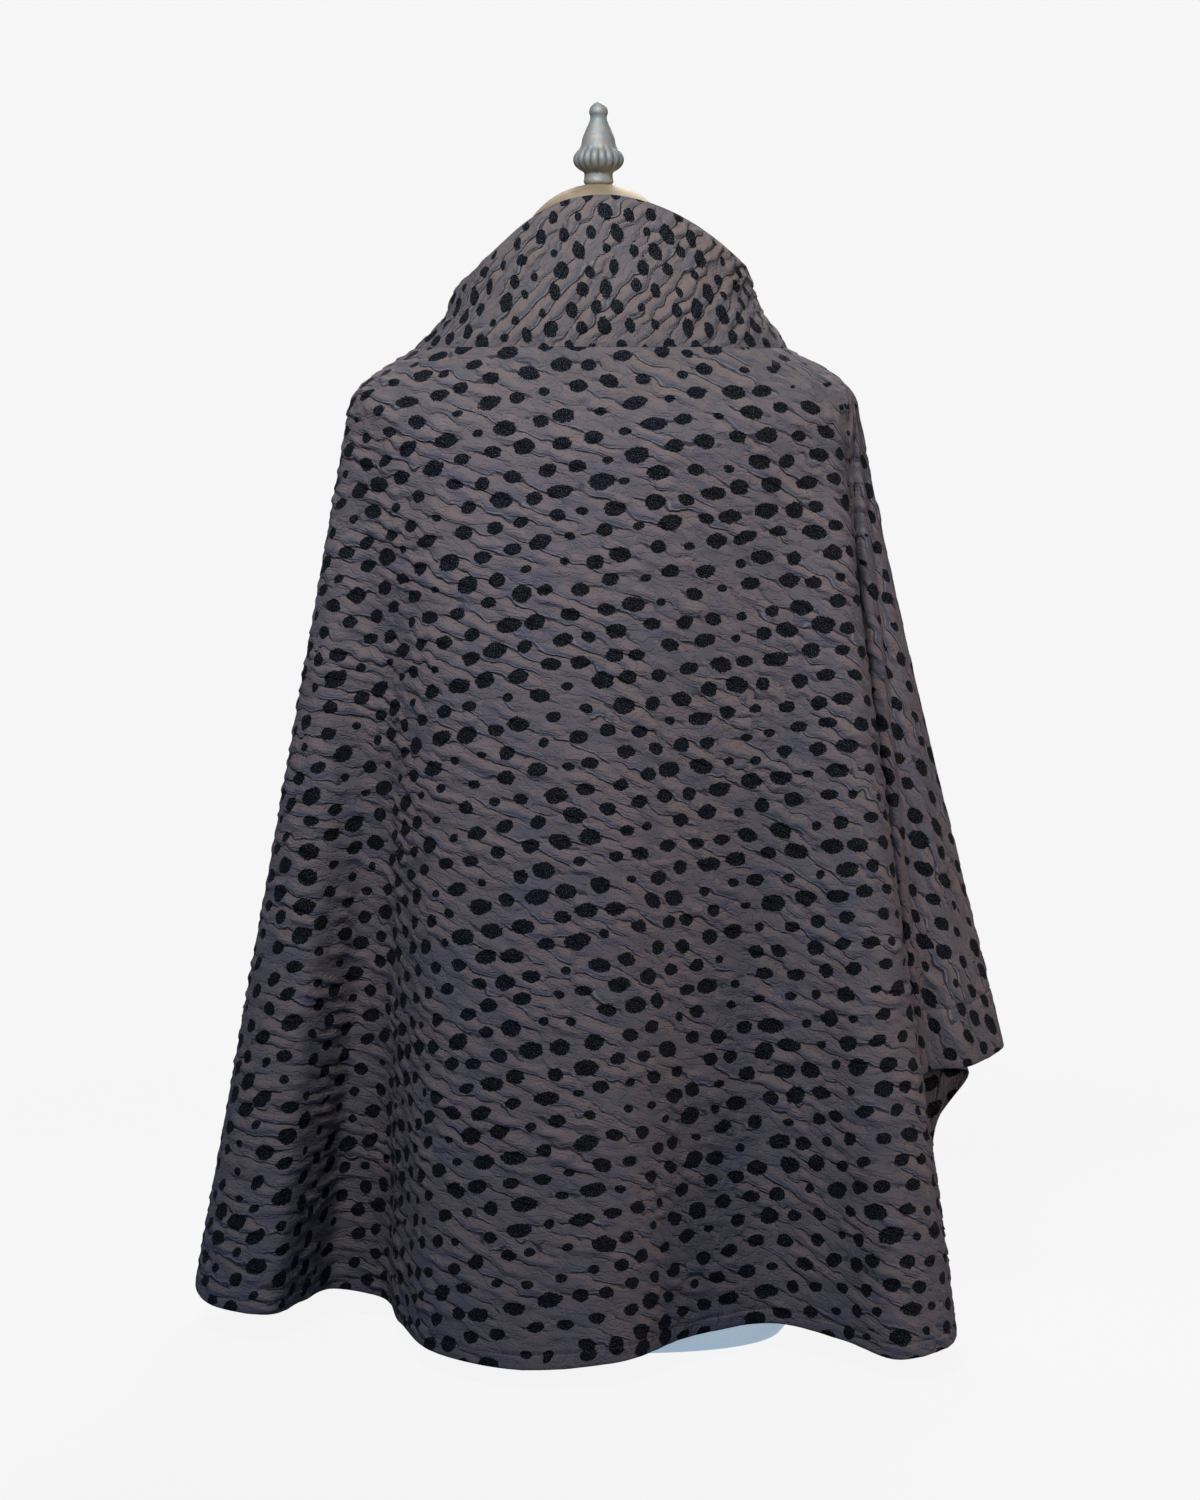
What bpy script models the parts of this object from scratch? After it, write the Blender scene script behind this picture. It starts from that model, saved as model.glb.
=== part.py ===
"""Poncho with one batwing sleeve and a funnel collar, worn by a limbless dress form.

The form stands on its flat base, with the origin at the middle of that base and +Z up.
The back of the poncho faces +Y, and its sleeve is on the -X side.
"""
import math
from collections import namedtuple

import bpy
from mathutils import Vector

COLLECTION = "poncho_on_dress_form"
MM = 0.001

# The cloth wall and the gap left between two pieces
CLOTH = 0.0022
GAP = 0.0003

# Samples along the cloth: rows down a panel or up the collar, and columns between two fold lines
YOKE_ROWS = 4
DRAPE_ROWS = 14
COLLAR_ROWS = 5
COLUMN_STEP = 0.026
MOST_COLUMNS = 3

# The neck seam and the shoulder, as rounded rings. Across is towards the sleeve, depth towards the back.
Ring = namedtuple("Ring", "left right back front left_height right_height back_height front_height power")
NECK_SEAM = Ring(137, 141, 95, 102, 742, 742, 742, 700, 2.0)
SHOULDER = Ring(186, 193, 112, 112, 698, 698, 662, 642, 2.2)

# The collar above the neck seam, as rings from the lowest to the rim
COLLAR = (
    Ring(121, 129, 90, 126, 757, 758, 765, 699, 2.0),
    Ring(112, 119, 82, 144, 768, 771, 792, 707, 2.0),
    Ring(110, 114, 73, 151, 777, 785, 817, 724, 2.0),
    Ring(105, 110, 64, 148, 785, 798, 838, 742, 2.0),
    Ring(98, 104, 57, 139, 787, 808, 853, 754, 2.0),
)

# The depth of the short seam under the arm, where the back and the front meet on one plane
SIDE_SEAM_DEPTH = -30

# Fold lines of the cloth in the order that they go round, from the left side over the back to the sleeve.
# Neck and shoulder are bearings in degrees from the middle of the back, positive towards the sleeve.
# Across, depth and height place the line's lower end in millimetres.
# A line with an onset of 1 falls straight, and a higher one starts its fold lower down.
Fold = namedtuple("Fold", "name neck shoulder across depth height onset")
BACK_FOLDS = (
    Fold("left line", -90, -90, -308, 2, 30, 1.03),
    Fold("left flare", -80, -80, -291, 54, 25, 1.0),
    Fold("left crest", -70, -71, -247, 78, 24, 1.1),
    Fold("left wall", -63, -65, -225, 32, 23, 1.5),
    Fold("left valley", -57, -60, -204, -10, 22, 1.6),
    Fold("valley rise", -50, -53, -172, 2, 20, 1.5),
    Fold("panel edge", -43, -47, -148, 78, 18, 1.3),
    Fold("panel turn", -33, -37, -116, 162, 17, 1.15),
    Fold("back lobe", -15, -17, -54, 203, 16, 1.05),
    Fold("lobe end", 3, 3, 14, 193, 19, 1.05),
    Fold("hollow start", 19, 20, 70, 130, 22, 1.2),
    Fold("hollow", 33, 35, 128, 106, 25, 1.25),
    Fold("right rise", 43, 46, 180, 142, 21, 1.3),
    Fold("right lobe", 49, 53, 217, 183, 18, 1.2),
    Fold("right turn", 53, 58, 249, 162, 20, 1.05),
    Fold("panel fold", 57, 62, 263, 112, 22, 1.0),
    Fold("armhole valley", 60, 67, 228, 38, 52, 1.0),
    Fold("hem corner", 63, 70, 256, SIDE_SEAM_DEPTH, 112, 2.2),
    Fold("side seam", 66, 72, 262, SIDE_SEAM_DEPTH, 150, 2.2),
    Fold("cuff corner", 69, 74, 286, SIDE_SEAM_DEPTH, 187, 2.2),
    Fold("cuff turn", 72, 76.5, 277, -8, 194, 2.0),
    Fold("sleeve valley", 74, 79, 229, 58, 203, 1.0),
    Fold("sleeve ridge", 78, 83, 239, 66, 203, 1.0),
    Fold("ridge foot", 81, 85, 249, 50, 204, 1.0),
    Fold("sleeve crest", 84, 87, 273, 47, 205, 1.0),
    Fold("sleeve edge", 87, 88.5, 292, 24, 207, 1.0),
)
FRONT_FOLDS = (
    Fold("sleeve top", 90, 90, 309, -2, 212, 1.08),
    Fold("sleeve edge", 93, 91.5, 294, -46, 208, 1.0),
    Fold("sleeve crest", 96, 93, 272, -78, 206, 1.0),
    Fold("ridge foot", 99, 95, 249, -84, 204, 1.0),
    Fold("sleeve ridge", 102, 97, 238, -100, 204, 1.0),
    Fold("sleeve valley", 106, 101, 227, -92, 203, 1.0),
    Fold("cuff turn", 108, 103.5, 277, -54, 194, 2.0),
    Fold("cuff corner", 111, 106, 286, SIDE_SEAM_DEPTH, 187, 2.2),
    Fold("side seam", 114, 108, 262, SIDE_SEAM_DEPTH, 150, 2.2),
    Fold("hem corner", 117, 110, 256, SIDE_SEAM_DEPTH, 112, 2.2),
    Fold("armhole valley", 120, 113, 226, -88, 52, 1.0),
    Fold("panel fold", 124, 118, 258, -142, 24, 1.0),
    Fold("right lobe", 131, 127, 226, -188, 18, 1.1),
    Fold("right hollow", 143, 140, 166, -160, 23, 1.3),
    Fold("middle right lobe", 158, 156, 98, -206, 16, 1.1),
    Fold("middle hollow", 176, 176, 22, -178, 20, 1.3),
    Fold("middle left lobe", 196, 196, -62, -214, 16, 1.1),
    Fold("left hollow", 217, 217, -140, -160, 22, 1.3),
    Fold("left lobe", 233, 233, -206, -168, 18, 1.1),
    Fold("left turn", 245, 246, -252, -112, 20, 1.1),
    Fold("left dip", 256, 257, -268, -58, 23, 1.2),
)
SEWN_SIDE = ("hem corner", "side seam", "cuff corner")

# The dress form, as sections from the floor to the neck
Section = namedtuple("Section", "height half_width back front power")
TORSO = (
    Section(0, 141, 99, 99, 2.6),
    Section(8, 147, 105, 105, 2.6),
    Section(100, 153, 110, 108, 2.4),
    Section(190, 157, 112, 107, 2.4),
    Section(290, 142, 102, 98, 2.4),
    Section(390, 120, 87, 87, 2.2),
    Section(480, 130, 92, 97, 2.2),
    Section(560, 144, 97, 108, 2.2),
    Section(620, 158, 101, 104, 2.2),
    Section(665, 176, 100, 96, 2.2),
    Section(695, 182, 92, 86, 2.2),
    Section(712, 173, 84, 76, 2.2),
    Section(727, 155.8, 76, 66, 2.2),
    Section(742, 131.2, 68, 60, 2.2),
    Section(757, 96, 60, 55, 2.2),
    Section(770, 68, 54, 51, 2.0),
    Section(790, 54, 50, 49, 2.0),
    Section(838.7, 49, 49, 49, 2.0),
)
TORSO_SIDES = 36
TORSO_STEPS = 2

# The neck cap: a shallow dome over a short rim, flat under the finial
CAP_RADIUS = 0.049
CAP_CURVE = 0.062
CAP_FLAT = 0.0105
CAP_RIM = 0.0012
CAP_SIDES = 36
CAP_STEPS = 7

# The finial, as radii up its height in millimetres, with ribs round its bulb
Turning = namedtuple("Turning", "height radius ribs")
FINIAL = (
    Turning(0.0, 10.0, 0),
    Turning(1.5, 11.0, 0),
    Turning(5.5, 10.6, 0),
    Turning(8.5, 10.8, 0),
    Turning(11.0, 14.5, 0.4),
    Turning(14.0, 17.6, 1.0),
    Turning(17.3, 18.9, 1.0),
    Turning(20.6, 18.6, 1.0),
    Turning(24.0, 16.6, 1.0),
    Turning(26.5, 14.2, 0.5),
    Turning(28.5, 13.2, 0),
    Turning(34.0, 12.0, 0),
    Turning(41.0, 9.2, 0),
    Turning(46.0, 7.0, 0),
    Turning(48.5, 6.2, 0),
    Turning(50.5, 6.3, 0),
    Turning(53.0, 7.0, 0),
    Turning(55.5, 6.7, 0),
    Turning(58.0, 5.2, 0),
    Turning(60.0, 2.8, 0),
    Turning(61.0, 0.8, 0),
)
FINIAL_RIBS = 18
RIB_RELIEF = 0.0011


def clear_scene():
    for thing in list(bpy.data.objects):
        bpy.data.objects.remove(thing, do_unlink=True)


def collection():
    group = bpy.data.collections.get(COLLECTION) or bpy.data.collections.new(COLLECTION)
    if group.name not in bpy.context.scene.collection.children:
        bpy.context.scene.collection.children.link(group)
    return group


def finish(name, colour, roughness, metallic):
    material = bpy.data.materials.new(name)
    material.use_nodes = True
    shader = material.node_tree.nodes["Principled BSDF"]
    shader.inputs["Base Color"].default_value = (*colour, 1.0)
    shader.inputs["Roughness"].default_value = roughness
    shader.inputs["Metallic"].default_value = metallic
    return material


def add_object(name, points, faces, material):
    mesh = bpy.data.meshes.new(name)
    mesh.from_pydata(points, [], faces)
    mesh.materials.append(material)
    mesh.shade_smooth()
    mesh.set_sharp_from_angle(angle=math.radians(50))
    thing = bpy.data.objects.new(name, mesh)
    collection().objects.link(thing)
    return thing


def place(across, depth, height):
    """A point in metres from millimetres towards the sleeve, towards the back and up."""
    return Vector((-across * MM, depth * MM, height * MM))


def rounded(angle, power):
    """The sine and cosine of a superellipse."""
    sine, cosine = math.sin(angle), math.cos(angle)
    return (math.copysign(abs(sine) ** (2 / power), sine),
            math.copysign(abs(cosine) ** (2 / power), cosine))


def ring_point(ring, bearing):
    """The point of a ring at a bearing in degrees from the middle of the back."""
    angle = math.radians(bearing)
    sine, cosine = rounded(angle, ring.power)
    across = sine * (ring.right if sine > 0 else ring.left)
    depth = cosine * (ring.back if cosine > 0 else ring.front)
    side_height = ring.right_height if sine > 0 else ring.left_height
    end_height = ring.back_height if cosine > 0 else ring.front_height
    share = math.cos(angle) ** 2
    return place(across, depth, side_height + (end_height - side_height) * share)


def drape_point(fold, fall):
    """A point on a fold line, from the shoulder at 0 to its lower end at 1."""
    start = ring_point(SHOULDER, fold.shoulder)
    end = place(fold.across, fold.depth, fold.height)
    drift = fall ** fold.onset
    return Vector((start.x + (end.x - start.x) * drift,
                   start.y + (end.y - start.y) * drift,
                   start.z + (end.z - start.z) * fall))


def yoke_point(fold, share):
    """A point on the curve that takes a fold line from the neck seam over the shoulder."""
    start = ring_point(NECK_SEAM, fold.neck)
    end = ring_point(SHOULDER, fold.shoulder)
    reach = (end - start).length
    leave = (end - start) * 0.9
    arrive = (drape_point(fold, 0.04) - end).normalized() * reach
    squared, cubed = share ** 2, share ** 3
    return (start * (2 * cubed - 3 * squared + 1) + leave * (cubed - 2 * squared + share)
            + end * (3 * squared - 2 * cubed) + arrive * (cubed - squared))


def collar_point(fold, rise):
    """A point of the collar above the neck seam, from the seam at 0 to the rim at 1."""
    knots = [ring_point(NECK_SEAM, fold.neck)] + [ring_point(ring, fold.neck) for ring in COLLAR]
    return curve_point(knots, rise * (len(knots) - 1))


def curve_point(knots, place_on):
    """A point on a smooth curve through the knots, which are one unit apart."""
    last = len(knots) - 1
    index = min(int(place_on), last - 1)
    share = place_on - index
    before, first = knots[max(index - 1, 0)], knots[index]
    second, after = knots[index + 1], knots[min(index + 2, last)]
    return segment_point(before, first, second, after, share)


def segment_point(before, first, second, after, share):
    """A point between the first and second knots, with tangents that suit uneven spacing."""
    span = max((second - first).length, 1e-9)
    ahead = max((after - second).length, 1e-9)
    behind = max((first - before).length, 1e-9)
    leave = tangent(before, first, second, behind, span) * span
    arrive = tangent(first, second, after, span, ahead) * span
    squared, cubed = share ** 2, share ** 3
    return (first * (2 * cubed - 3 * squared + 1) + leave * (cubed - 2 * squared + share)
            + second * (3 * squared - 2 * cubed) + arrive * (cubed - squared))


def tangent(before, middle, after, behind, ahead):
    """The direction through the middle knot, from the spacing on both sides."""
    back = (middle - before) / behind
    on = (after - middle) / ahead
    return (back * ahead + on * behind) / (behind + ahead)


def fold_rows(fold):
    """All points down one fold line, from the collar's rim to the lower edge."""
    points = [collar_point(fold, 1 - row / COLLAR_ROWS) for row in range(COLLAR_ROWS)]
    points += [yoke_point(fold, row / YOKE_ROWS) for row in range(YOKE_ROWS)]
    points += [drape_point(fold, row / DRAPE_ROWS) for row in range(DRAPE_ROWS + 1)]
    return points


def cloth_grid():
    """The cloth's middle surface as columns round the form, and the column of each fold line."""
    folds = BACK_FOLDS + FRONT_FOLDS
    lines = [fold_rows(fold) for fold in folds]
    count = len(lines)
    columns, starts = [], {}
    for index in range(count):
        four = [lines[(index + offset) % count] for offset in (-1, 0, 1, 2)]
        widest = max((second - first).length for first, second in zip(four[1], four[2]))
        steps = min(MOST_COLUMNS, max(1, round(widest / COLUMN_STEP)))
        starts[(index >= len(BACK_FOLDS), folds[index].name)] = len(columns)
        for step in range(steps):
            columns.append([segment_point(*knots, step / steps) for knots in zip(*four)])
    return columns, starts


def cloth_normals(columns):
    """Outward directions of the middle surface, shared by the pieces that meet at a seam."""
    count, rows = len(columns), len(columns[0])
    normals = []
    for index in range(count):
        before, after = columns[index - 1], columns[(index + 1) % count]
        line = []
        for row in range(rows):
            point = columns[index][row]
            down = bisector(columns[index][max(row - 1, 0)], point, columns[index][min(row + 1, rows - 1)])
            line.append(down.cross(bisector(before[row], point, after[row])).normalized())
        normals.append(line)
    return normals


def bisector(before, middle, after):
    """The mean direction through the middle point, whatever the spacing on its two sides."""
    return (middle - before).normalized() + (after - middle).normalized()


def wall(name, columns, normals, closed, material):
    """A closed wall of the cloth's thickness round a grid of columns."""
    count, rows = len(columns), len(columns[0])
    half = CLOTH / 2
    points = [point for line in columns for point in line]
    outs = [out * half for line in normals for out in line]
    outer = [point + out for point, out in zip(points, outs)]
    inner = [point - out for point, out in zip(points, outs)]
    total = len(outer)
    faces = []
    for index in range(count if closed else count - 1):
        this, following = index * rows, (index + 1) % count * rows
        for row in range(rows - 1):
            corners = (this + row, this + row + 1, following + row + 1, following + row)
            faces.append(corners)
            faces.append(tuple(corner + total for corner in reversed(corners)))
        faces.append((this, following, following + total, this + total))
        low = rows - 1
        faces.append((following + low, this + low, this + low + total, following + low + total))
    if not closed:
        far = (count - 1) * rows
        for row in range(rows - 1):
            faces.append((row + 1, row, row + total, row + 1 + total))
            faces.append((far + row, far + row + 1, far + row + 1 + total, far + row + total))
    return add_object(name, outer + inner, faces, material)


def moved_in(line, neighbour):
    """An edge line moved towards its neighbour by half of the gap at a seam."""
    return [point + (inside - point).normalized() * GAP / 2 for point, inside in zip(line, neighbour)]


def panel(name, columns, normals, first, last, sewn, side, material):
    """A panel from one column to another, cut back at its seams. Side is 1 at the back, -1 in front."""
    count = len(columns)
    span = (last - first) % count
    picks = [(first + offset) % count for offset in range(span + 1)]
    top = COLLAR_ROWS
    grid = [list(columns[pick][top:]) for pick in picks]
    outs = [list(normals[pick][top:]) for pick in picks]
    grid[0] = moved_in(grid[0], grid[1])
    grid[-1] = moved_in(grid[-1], grid[-2])
    for line in grid:
        line[0] = line[0] + (line[1] - line[0]).normalized() * GAP / 2
    close_side_seam(grid, outs, picks, sewn, side)
    return wall(name, grid, outs, False, material)


def close_side_seam(grid, outs, picks, sewn, side):
    """Sets the lower edge against one plane where the back and the front are sewn under the arm."""
    low, high = sewn
    plane = SIDE_SEAM_DEPTH * MM
    for offset, pick in enumerate(picks):
        if low <= pick <= high:
            point, out = grid[offset][-1], outs[offset][-1]
            clear = GAP / 2 + abs(out.y) * CLOTH / 2
            grid[offset][-1] = Vector((point.x, plane + side * clear, point.z))


def make_cloth(material):
    columns, starts = cloth_grid()
    normals = cloth_normals(columns)
    left, top = starts[(False, "left line")], starts[(True, "sleeve top")]
    back_seam = [starts[(False, name)] for name in SEWN_SIDE]
    front_seam = [starts[(True, name)] for name in SEWN_SIDE]
    panel("back_panel", columns, normals, left, top, (min(back_seam), max(back_seam)), 1, material)
    panel("front_panel", columns, normals, top, left, (min(front_seam), max(front_seam)), -1, material)
    band = [list(line[:COLLAR_ROWS + 1]) for line in columns]
    for line in band:
        line[-1] = line[-1] + (line[-2] - line[-1]).normalized() * GAP / 2
    wall("collar", band, [line[:COLLAR_ROWS + 1] for line in normals], True, material)


def section_ring(section):
    """The points of a torso section, counterclockwise from above."""
    points = []
    for side in range(TORSO_SIDES):
        sine, cosine = rounded(2 * math.pi * side / TORSO_SIDES, section.power)
        depth = section.back if cosine > 0 else section.front
        points.append(place(sine * section.half_width, cosine * depth, section.height))
    return points


def loft(name, rings, material):
    """A closed solid through rings of equal count, with flat ends."""
    count = len(rings[0])
    points = [point for ring in rings for point in ring]
    faces = [tuple(reversed(range(count))), tuple(range(len(points) - count, len(points)))]
    for level in range(len(rings) - 1):
        for side in range(count):
            low, next_low = level * count + side, level * count + (side + 1) % count
            faces.append((low, next_low, next_low + count, low + count))
    return add_object(name, points, faces, material)


def make_torso(material):
    knots = [section_ring(section) for section in TORSO]
    steps = [index / TORSO_STEPS for index in range(TORSO_STEPS * (len(knots) - 1) + 1)]
    sides = [[ring[side] for ring in knots] for side in range(TORSO_SIDES)]
    rings = [[curve_point(side, step) for side in sides] for step in steps]
    loft("form_torso", rings, material)


def cap_drop(radius):
    """How far the dome lies below the top of its sphere."""
    return CAP_CURVE - math.sqrt(CAP_CURVE ** 2 - radius ** 2)


def cap_height():
    return CAP_RIM + cap_drop(CAP_RADIUS) - cap_drop(CAP_FLAT)


def make_neck_cap(material):
    base = TORSO[-1].height * MM + GAP
    profile = [(0.0, base + cap_height())]
    for step in range(CAP_STEPS + 1):
        radius = CAP_FLAT + (CAP_RADIUS - CAP_FLAT) * step / CAP_STEPS
        profile.append((radius, base + CAP_RIM + cap_drop(CAP_RADIUS) - cap_drop(radius)))
    profile += [(CAP_RADIUS, base), (0.0, base)]
    turned("neck_cap", profile, CAP_SIDES, material)


def turned(name, profile, sides, material):
    """A turned solid from a profile of radii and heights that runs down its outer side."""
    mesh = bpy.data.meshes.new(name)
    mesh.from_pydata([(radius, 0, height) for radius, height in profile],
                     [(index, index + 1) for index in range(len(profile) - 1)], [])
    mesh.materials.append(material)
    thing = bpy.data.objects.new(name, mesh)
    collection().objects.link(thing)
    screw = thing.modifiers.new("Turn", "SCREW")
    screw.steps = screw.render_steps = sides
    screw.use_merge_vertices = True
    screw.merge_threshold = 0.00001
    screw.use_smooth_shade = True
    return thing


def make_finial(material):
    base = TORSO[-1].height * MM + GAP + cap_height() + GAP
    sides = 2 * FINIAL_RIBS
    rings = []
    for turning in FINIAL:
        ring = []
        for side in range(sides):
            relief = RIB_RELIEF * turning.ribs * (side % 2)
            radius = turning.radius * MM - relief
            angle = 2 * math.pi * side / sides
            height = base + turning.height * MM
            ring.append(Vector((-math.sin(angle) * radius, math.cos(angle) * radius, height)))
        rings.append(ring)
    loft("finial", rings, material)


def main():
    clear_scene()
    make_cloth(finish("crinkled_cloth", (0.165, 0.130, 0.135), 0.9, 0.0))
    make_torso(finish("form_cover", (0.74, 0.80, 0.84), 0.85, 0.0))
    make_neck_cap(finish("aged_brass", (0.42, 0.33, 0.20), 0.42, 0.9))
    make_finial(finish("pewter", (0.30, 0.33, 0.37), 0.45, 0.85))


main()
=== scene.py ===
"""Looks of a poncho with one batwing sleeve and a funnel collar, worn by a limbless dress form.

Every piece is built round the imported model, in metres, with +Z up and the back of the poncho
towards +Y. The cloth repeats the fold lines of the CAD part and adds its crinkles to them.
"""
import functools
import math
from collections import namedtuple

import bpy
import numpy as np
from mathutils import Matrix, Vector


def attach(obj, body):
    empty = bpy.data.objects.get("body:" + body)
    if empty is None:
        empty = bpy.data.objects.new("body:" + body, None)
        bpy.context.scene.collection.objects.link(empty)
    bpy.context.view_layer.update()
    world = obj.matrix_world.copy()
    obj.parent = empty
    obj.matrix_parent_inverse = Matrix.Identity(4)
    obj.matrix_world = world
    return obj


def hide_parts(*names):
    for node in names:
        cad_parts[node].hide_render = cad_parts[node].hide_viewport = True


bl_info = {
    "name": "Poncho on a dress form",
    "version": (1, 0, 0),
    "blender": (4, 5, 0),
    "location": "View3D > Sidebar > Poncho",
    "description": "Builds a crinkled poncho with its dress form and a plain stage",
    "category": "Add Mesh",
}

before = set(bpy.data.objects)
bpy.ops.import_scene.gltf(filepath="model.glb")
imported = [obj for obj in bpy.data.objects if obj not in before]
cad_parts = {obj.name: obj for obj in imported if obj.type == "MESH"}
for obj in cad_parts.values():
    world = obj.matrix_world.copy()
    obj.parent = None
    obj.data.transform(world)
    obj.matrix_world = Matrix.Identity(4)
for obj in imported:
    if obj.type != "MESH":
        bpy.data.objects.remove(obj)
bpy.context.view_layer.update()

MM = 0.001

# The fold lines of the cloth, as in the CAD part
Ring = namedtuple("Ring", "left right back front left_height right_height back_height front_height power")
NECK_SEAM = Ring(137, 141, 95, 102, 742, 742, 742, 700, 2.0)
SHOULDER = Ring(186, 193, 112, 112, 698, 698, 662, 642, 2.2)
COLLAR = (
    Ring(121, 129, 90, 126, 757, 758, 765, 699, 2.0),
    Ring(112, 119, 82, 144, 768, 771, 792, 707, 2.0),
    Ring(110, 114, 73, 151, 777, 785, 817, 724, 2.0),
    Ring(105, 110, 64, 148, 785, 798, 838, 742, 2.0),
    Ring(98, 104, 57, 139, 787, 808, 853, 754, 2.0),
)
SIDE_SEAM_DEPTH = -30
Fold = namedtuple("Fold", "name neck shoulder across depth height onset")
BACK_FOLDS = (
    Fold("left line", -90, -90, -308, 2, 30, 1.03),
    Fold("left flare", -80, -80, -291, 54, 25, 1.0),
    Fold("left crest", -70, -71, -247, 78, 24, 1.1),
    Fold("left wall", -63, -65, -225, 32, 23, 1.5),
    Fold("left valley", -57, -60, -204, -10, 22, 1.6),
    Fold("valley rise", -50, -53, -172, 2, 20, 1.5),
    Fold("panel edge", -43, -47, -148, 78, 18, 1.3),
    Fold("panel turn", -33, -37, -116, 162, 17, 1.15),
    Fold("back lobe", -15, -17, -54, 203, 16, 1.05),
    Fold("lobe end", 3, 3, 14, 193, 19, 1.05),
    Fold("hollow start", 19, 20, 70, 130, 22, 1.2),
    Fold("hollow", 33, 35, 128, 106, 25, 1.25),
    Fold("right rise", 43, 46, 180, 142, 21, 1.3),
    Fold("right lobe", 49, 53, 217, 183, 18, 1.2),
    Fold("right turn", 53, 58, 249, 162, 20, 1.05),
    Fold("panel fold", 57, 62, 263, 112, 22, 1.0),
    Fold("armhole valley", 60, 67, 228, 38, 52, 1.0),
    Fold("hem corner", 63, 70, 256, SIDE_SEAM_DEPTH, 112, 2.2),
    Fold("side seam", 66, 72, 262, SIDE_SEAM_DEPTH, 150, 2.2),
    Fold("cuff corner", 69, 74, 286, SIDE_SEAM_DEPTH, 187, 2.2),
    Fold("cuff turn", 72, 76.5, 277, -8, 194, 2.0),
    Fold("sleeve valley", 74, 79, 229, 58, 203, 1.0),
    Fold("sleeve ridge", 78, 83, 239, 66, 203, 1.0),
    Fold("ridge foot", 81, 85, 249, 50, 204, 1.0),
    Fold("sleeve crest", 84, 87, 273, 47, 205, 1.0),
    Fold("sleeve edge", 87, 88.5, 292, 24, 207, 1.0),
)
FRONT_FOLDS = (
    Fold("sleeve top", 90, 90, 309, -2, 212, 1.08),
    Fold("sleeve edge", 93, 91.5, 294, -46, 208, 1.0),
    Fold("sleeve crest", 96, 93, 272, -78, 206, 1.0),
    Fold("ridge foot", 99, 95, 249, -84, 204, 1.0),
    Fold("sleeve ridge", 102, 97, 238, -100, 204, 1.0),
    Fold("sleeve valley", 106, 101, 227, -92, 203, 1.0),
    Fold("cuff turn", 108, 103.5, 277, -54, 194, 2.0),
    Fold("cuff corner", 111, 106, 286, SIDE_SEAM_DEPTH, 187, 2.2),
    Fold("side seam", 114, 108, 262, SIDE_SEAM_DEPTH, 150, 2.2),
    Fold("hem corner", 117, 110, 256, SIDE_SEAM_DEPTH, 112, 2.2),
    Fold("armhole valley", 120, 113, 226, -88, 52, 1.0),
    Fold("panel fold", 124, 118, 258, -142, 24, 1.0),
    Fold("right lobe", 131, 127, 226, -188, 18, 1.1),
    Fold("right hollow", 143, 140, 166, -160, 23, 1.3),
    Fold("middle right lobe", 158, 156, 98, -206, 16, 1.1),
    Fold("middle hollow", 176, 176, 22, -178, 20, 1.3),
    Fold("middle left lobe", 196, 196, -62, -214, 16, 1.1),
    Fold("left hollow", 217, 217, -140, -160, 22, 1.3),
    Fold("left lobe", 233, 233, -206, -168, 18, 1.1),
    Fold("left turn", 245, 246, -252, -112, 20, 1.1),
    Fold("left dip", 256, 257, -268, -58, 23, 1.2),
)
FOLDS = BACK_FOLDS + FRONT_FOLDS
SEWN_SIDE = ("hem corner", "side seam", "cuff corner")
SLEEVE = ("cuff corner", "cuff turn", "sleeve valley", "sleeve ridge", "ridge foot", "sleeve crest",
          "sleeve edge", "sleeve top")

# How finely the cloth is sampled: column widths, and rows on the shoulder, the drape and the hem
COLUMN_STEP = 0.0062
SLEEVE_STEP = 0.0038
COLLAR_STEP = 0.0024
YOKE_ROWS = 34
DRAPE_ROWS = 286
HEM_ROWS = 9
INNER_ROWS = 4
COLLAR_ROWS = 88
SEAM_STEP = 0.0012
SEAM_GAP = 0.0001
SEAM_WALL = 0.0006
EDGE_STEP = 0.0008
CELL = 0.0015
SETTLING = ((16, 32), (8, 16), (4, 8), (2, 5))
SETTLING_ROUNDS = 400
RIDGE_TOP = 0.64
SEEDS = {"back": 11, "front": 21, "collar": 31}

# Which way the crinkles lie, in degrees below the horizontal towards the sleeve as seen from the back:
# panel, fold line, fall and angle. The front has similar ones.
CREASE_LAYS = {
    "back": (
        ("left line", 0.25, 12), ("left line", 0.9, 0), ("left crest", 0.6, 10), ("left valley", 0.9, -6),
        ("panel edge", 0.35, 24), ("panel edge", 0.95, 18), ("panel turn", 0.03, 20),
        ("back lobe", 0.5, 28), ("back lobe", 0.95, 22), ("lobe end", 0.02, 22), ("lobe end", 0.5, 30),
        ("hollow", 0.1, 28), ("hollow", 0.5, 31), ("hollow", 0.95, 27), ("right lobe", 0.1, 38),
        ("right lobe", 0.5, 32), ("right lobe", 0.95, 28), ("panel fold", 0.1, 48),
        ("panel fold", 0.6, 38), ("sleeve valley", 0.3, 68), ("sleeve valley", 0.9, 70),
        ("sleeve crest", 0.3, 66), ("sleeve crest", 0.9, 62),
    ),
    "front": (
        ("sleeve edge", 0.3, 66), ("sleeve edge", 0.9, 62), ("sleeve valley", 0.9, 82),
        ("panel fold", 0.2, -50), ("panel fold", 0.9, -40), ("right hollow", 0.5, -28),
        ("middle hollow", 0.1, -18), ("middle hollow", 0.9, -22), ("left hollow", 0.5, -20),
        ("left lobe", 0.95, -12), ("left dip", 0.4, -8),
    ),
}
COLLAR_LAY = -48
WRINKLE_LAY = -28

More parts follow.
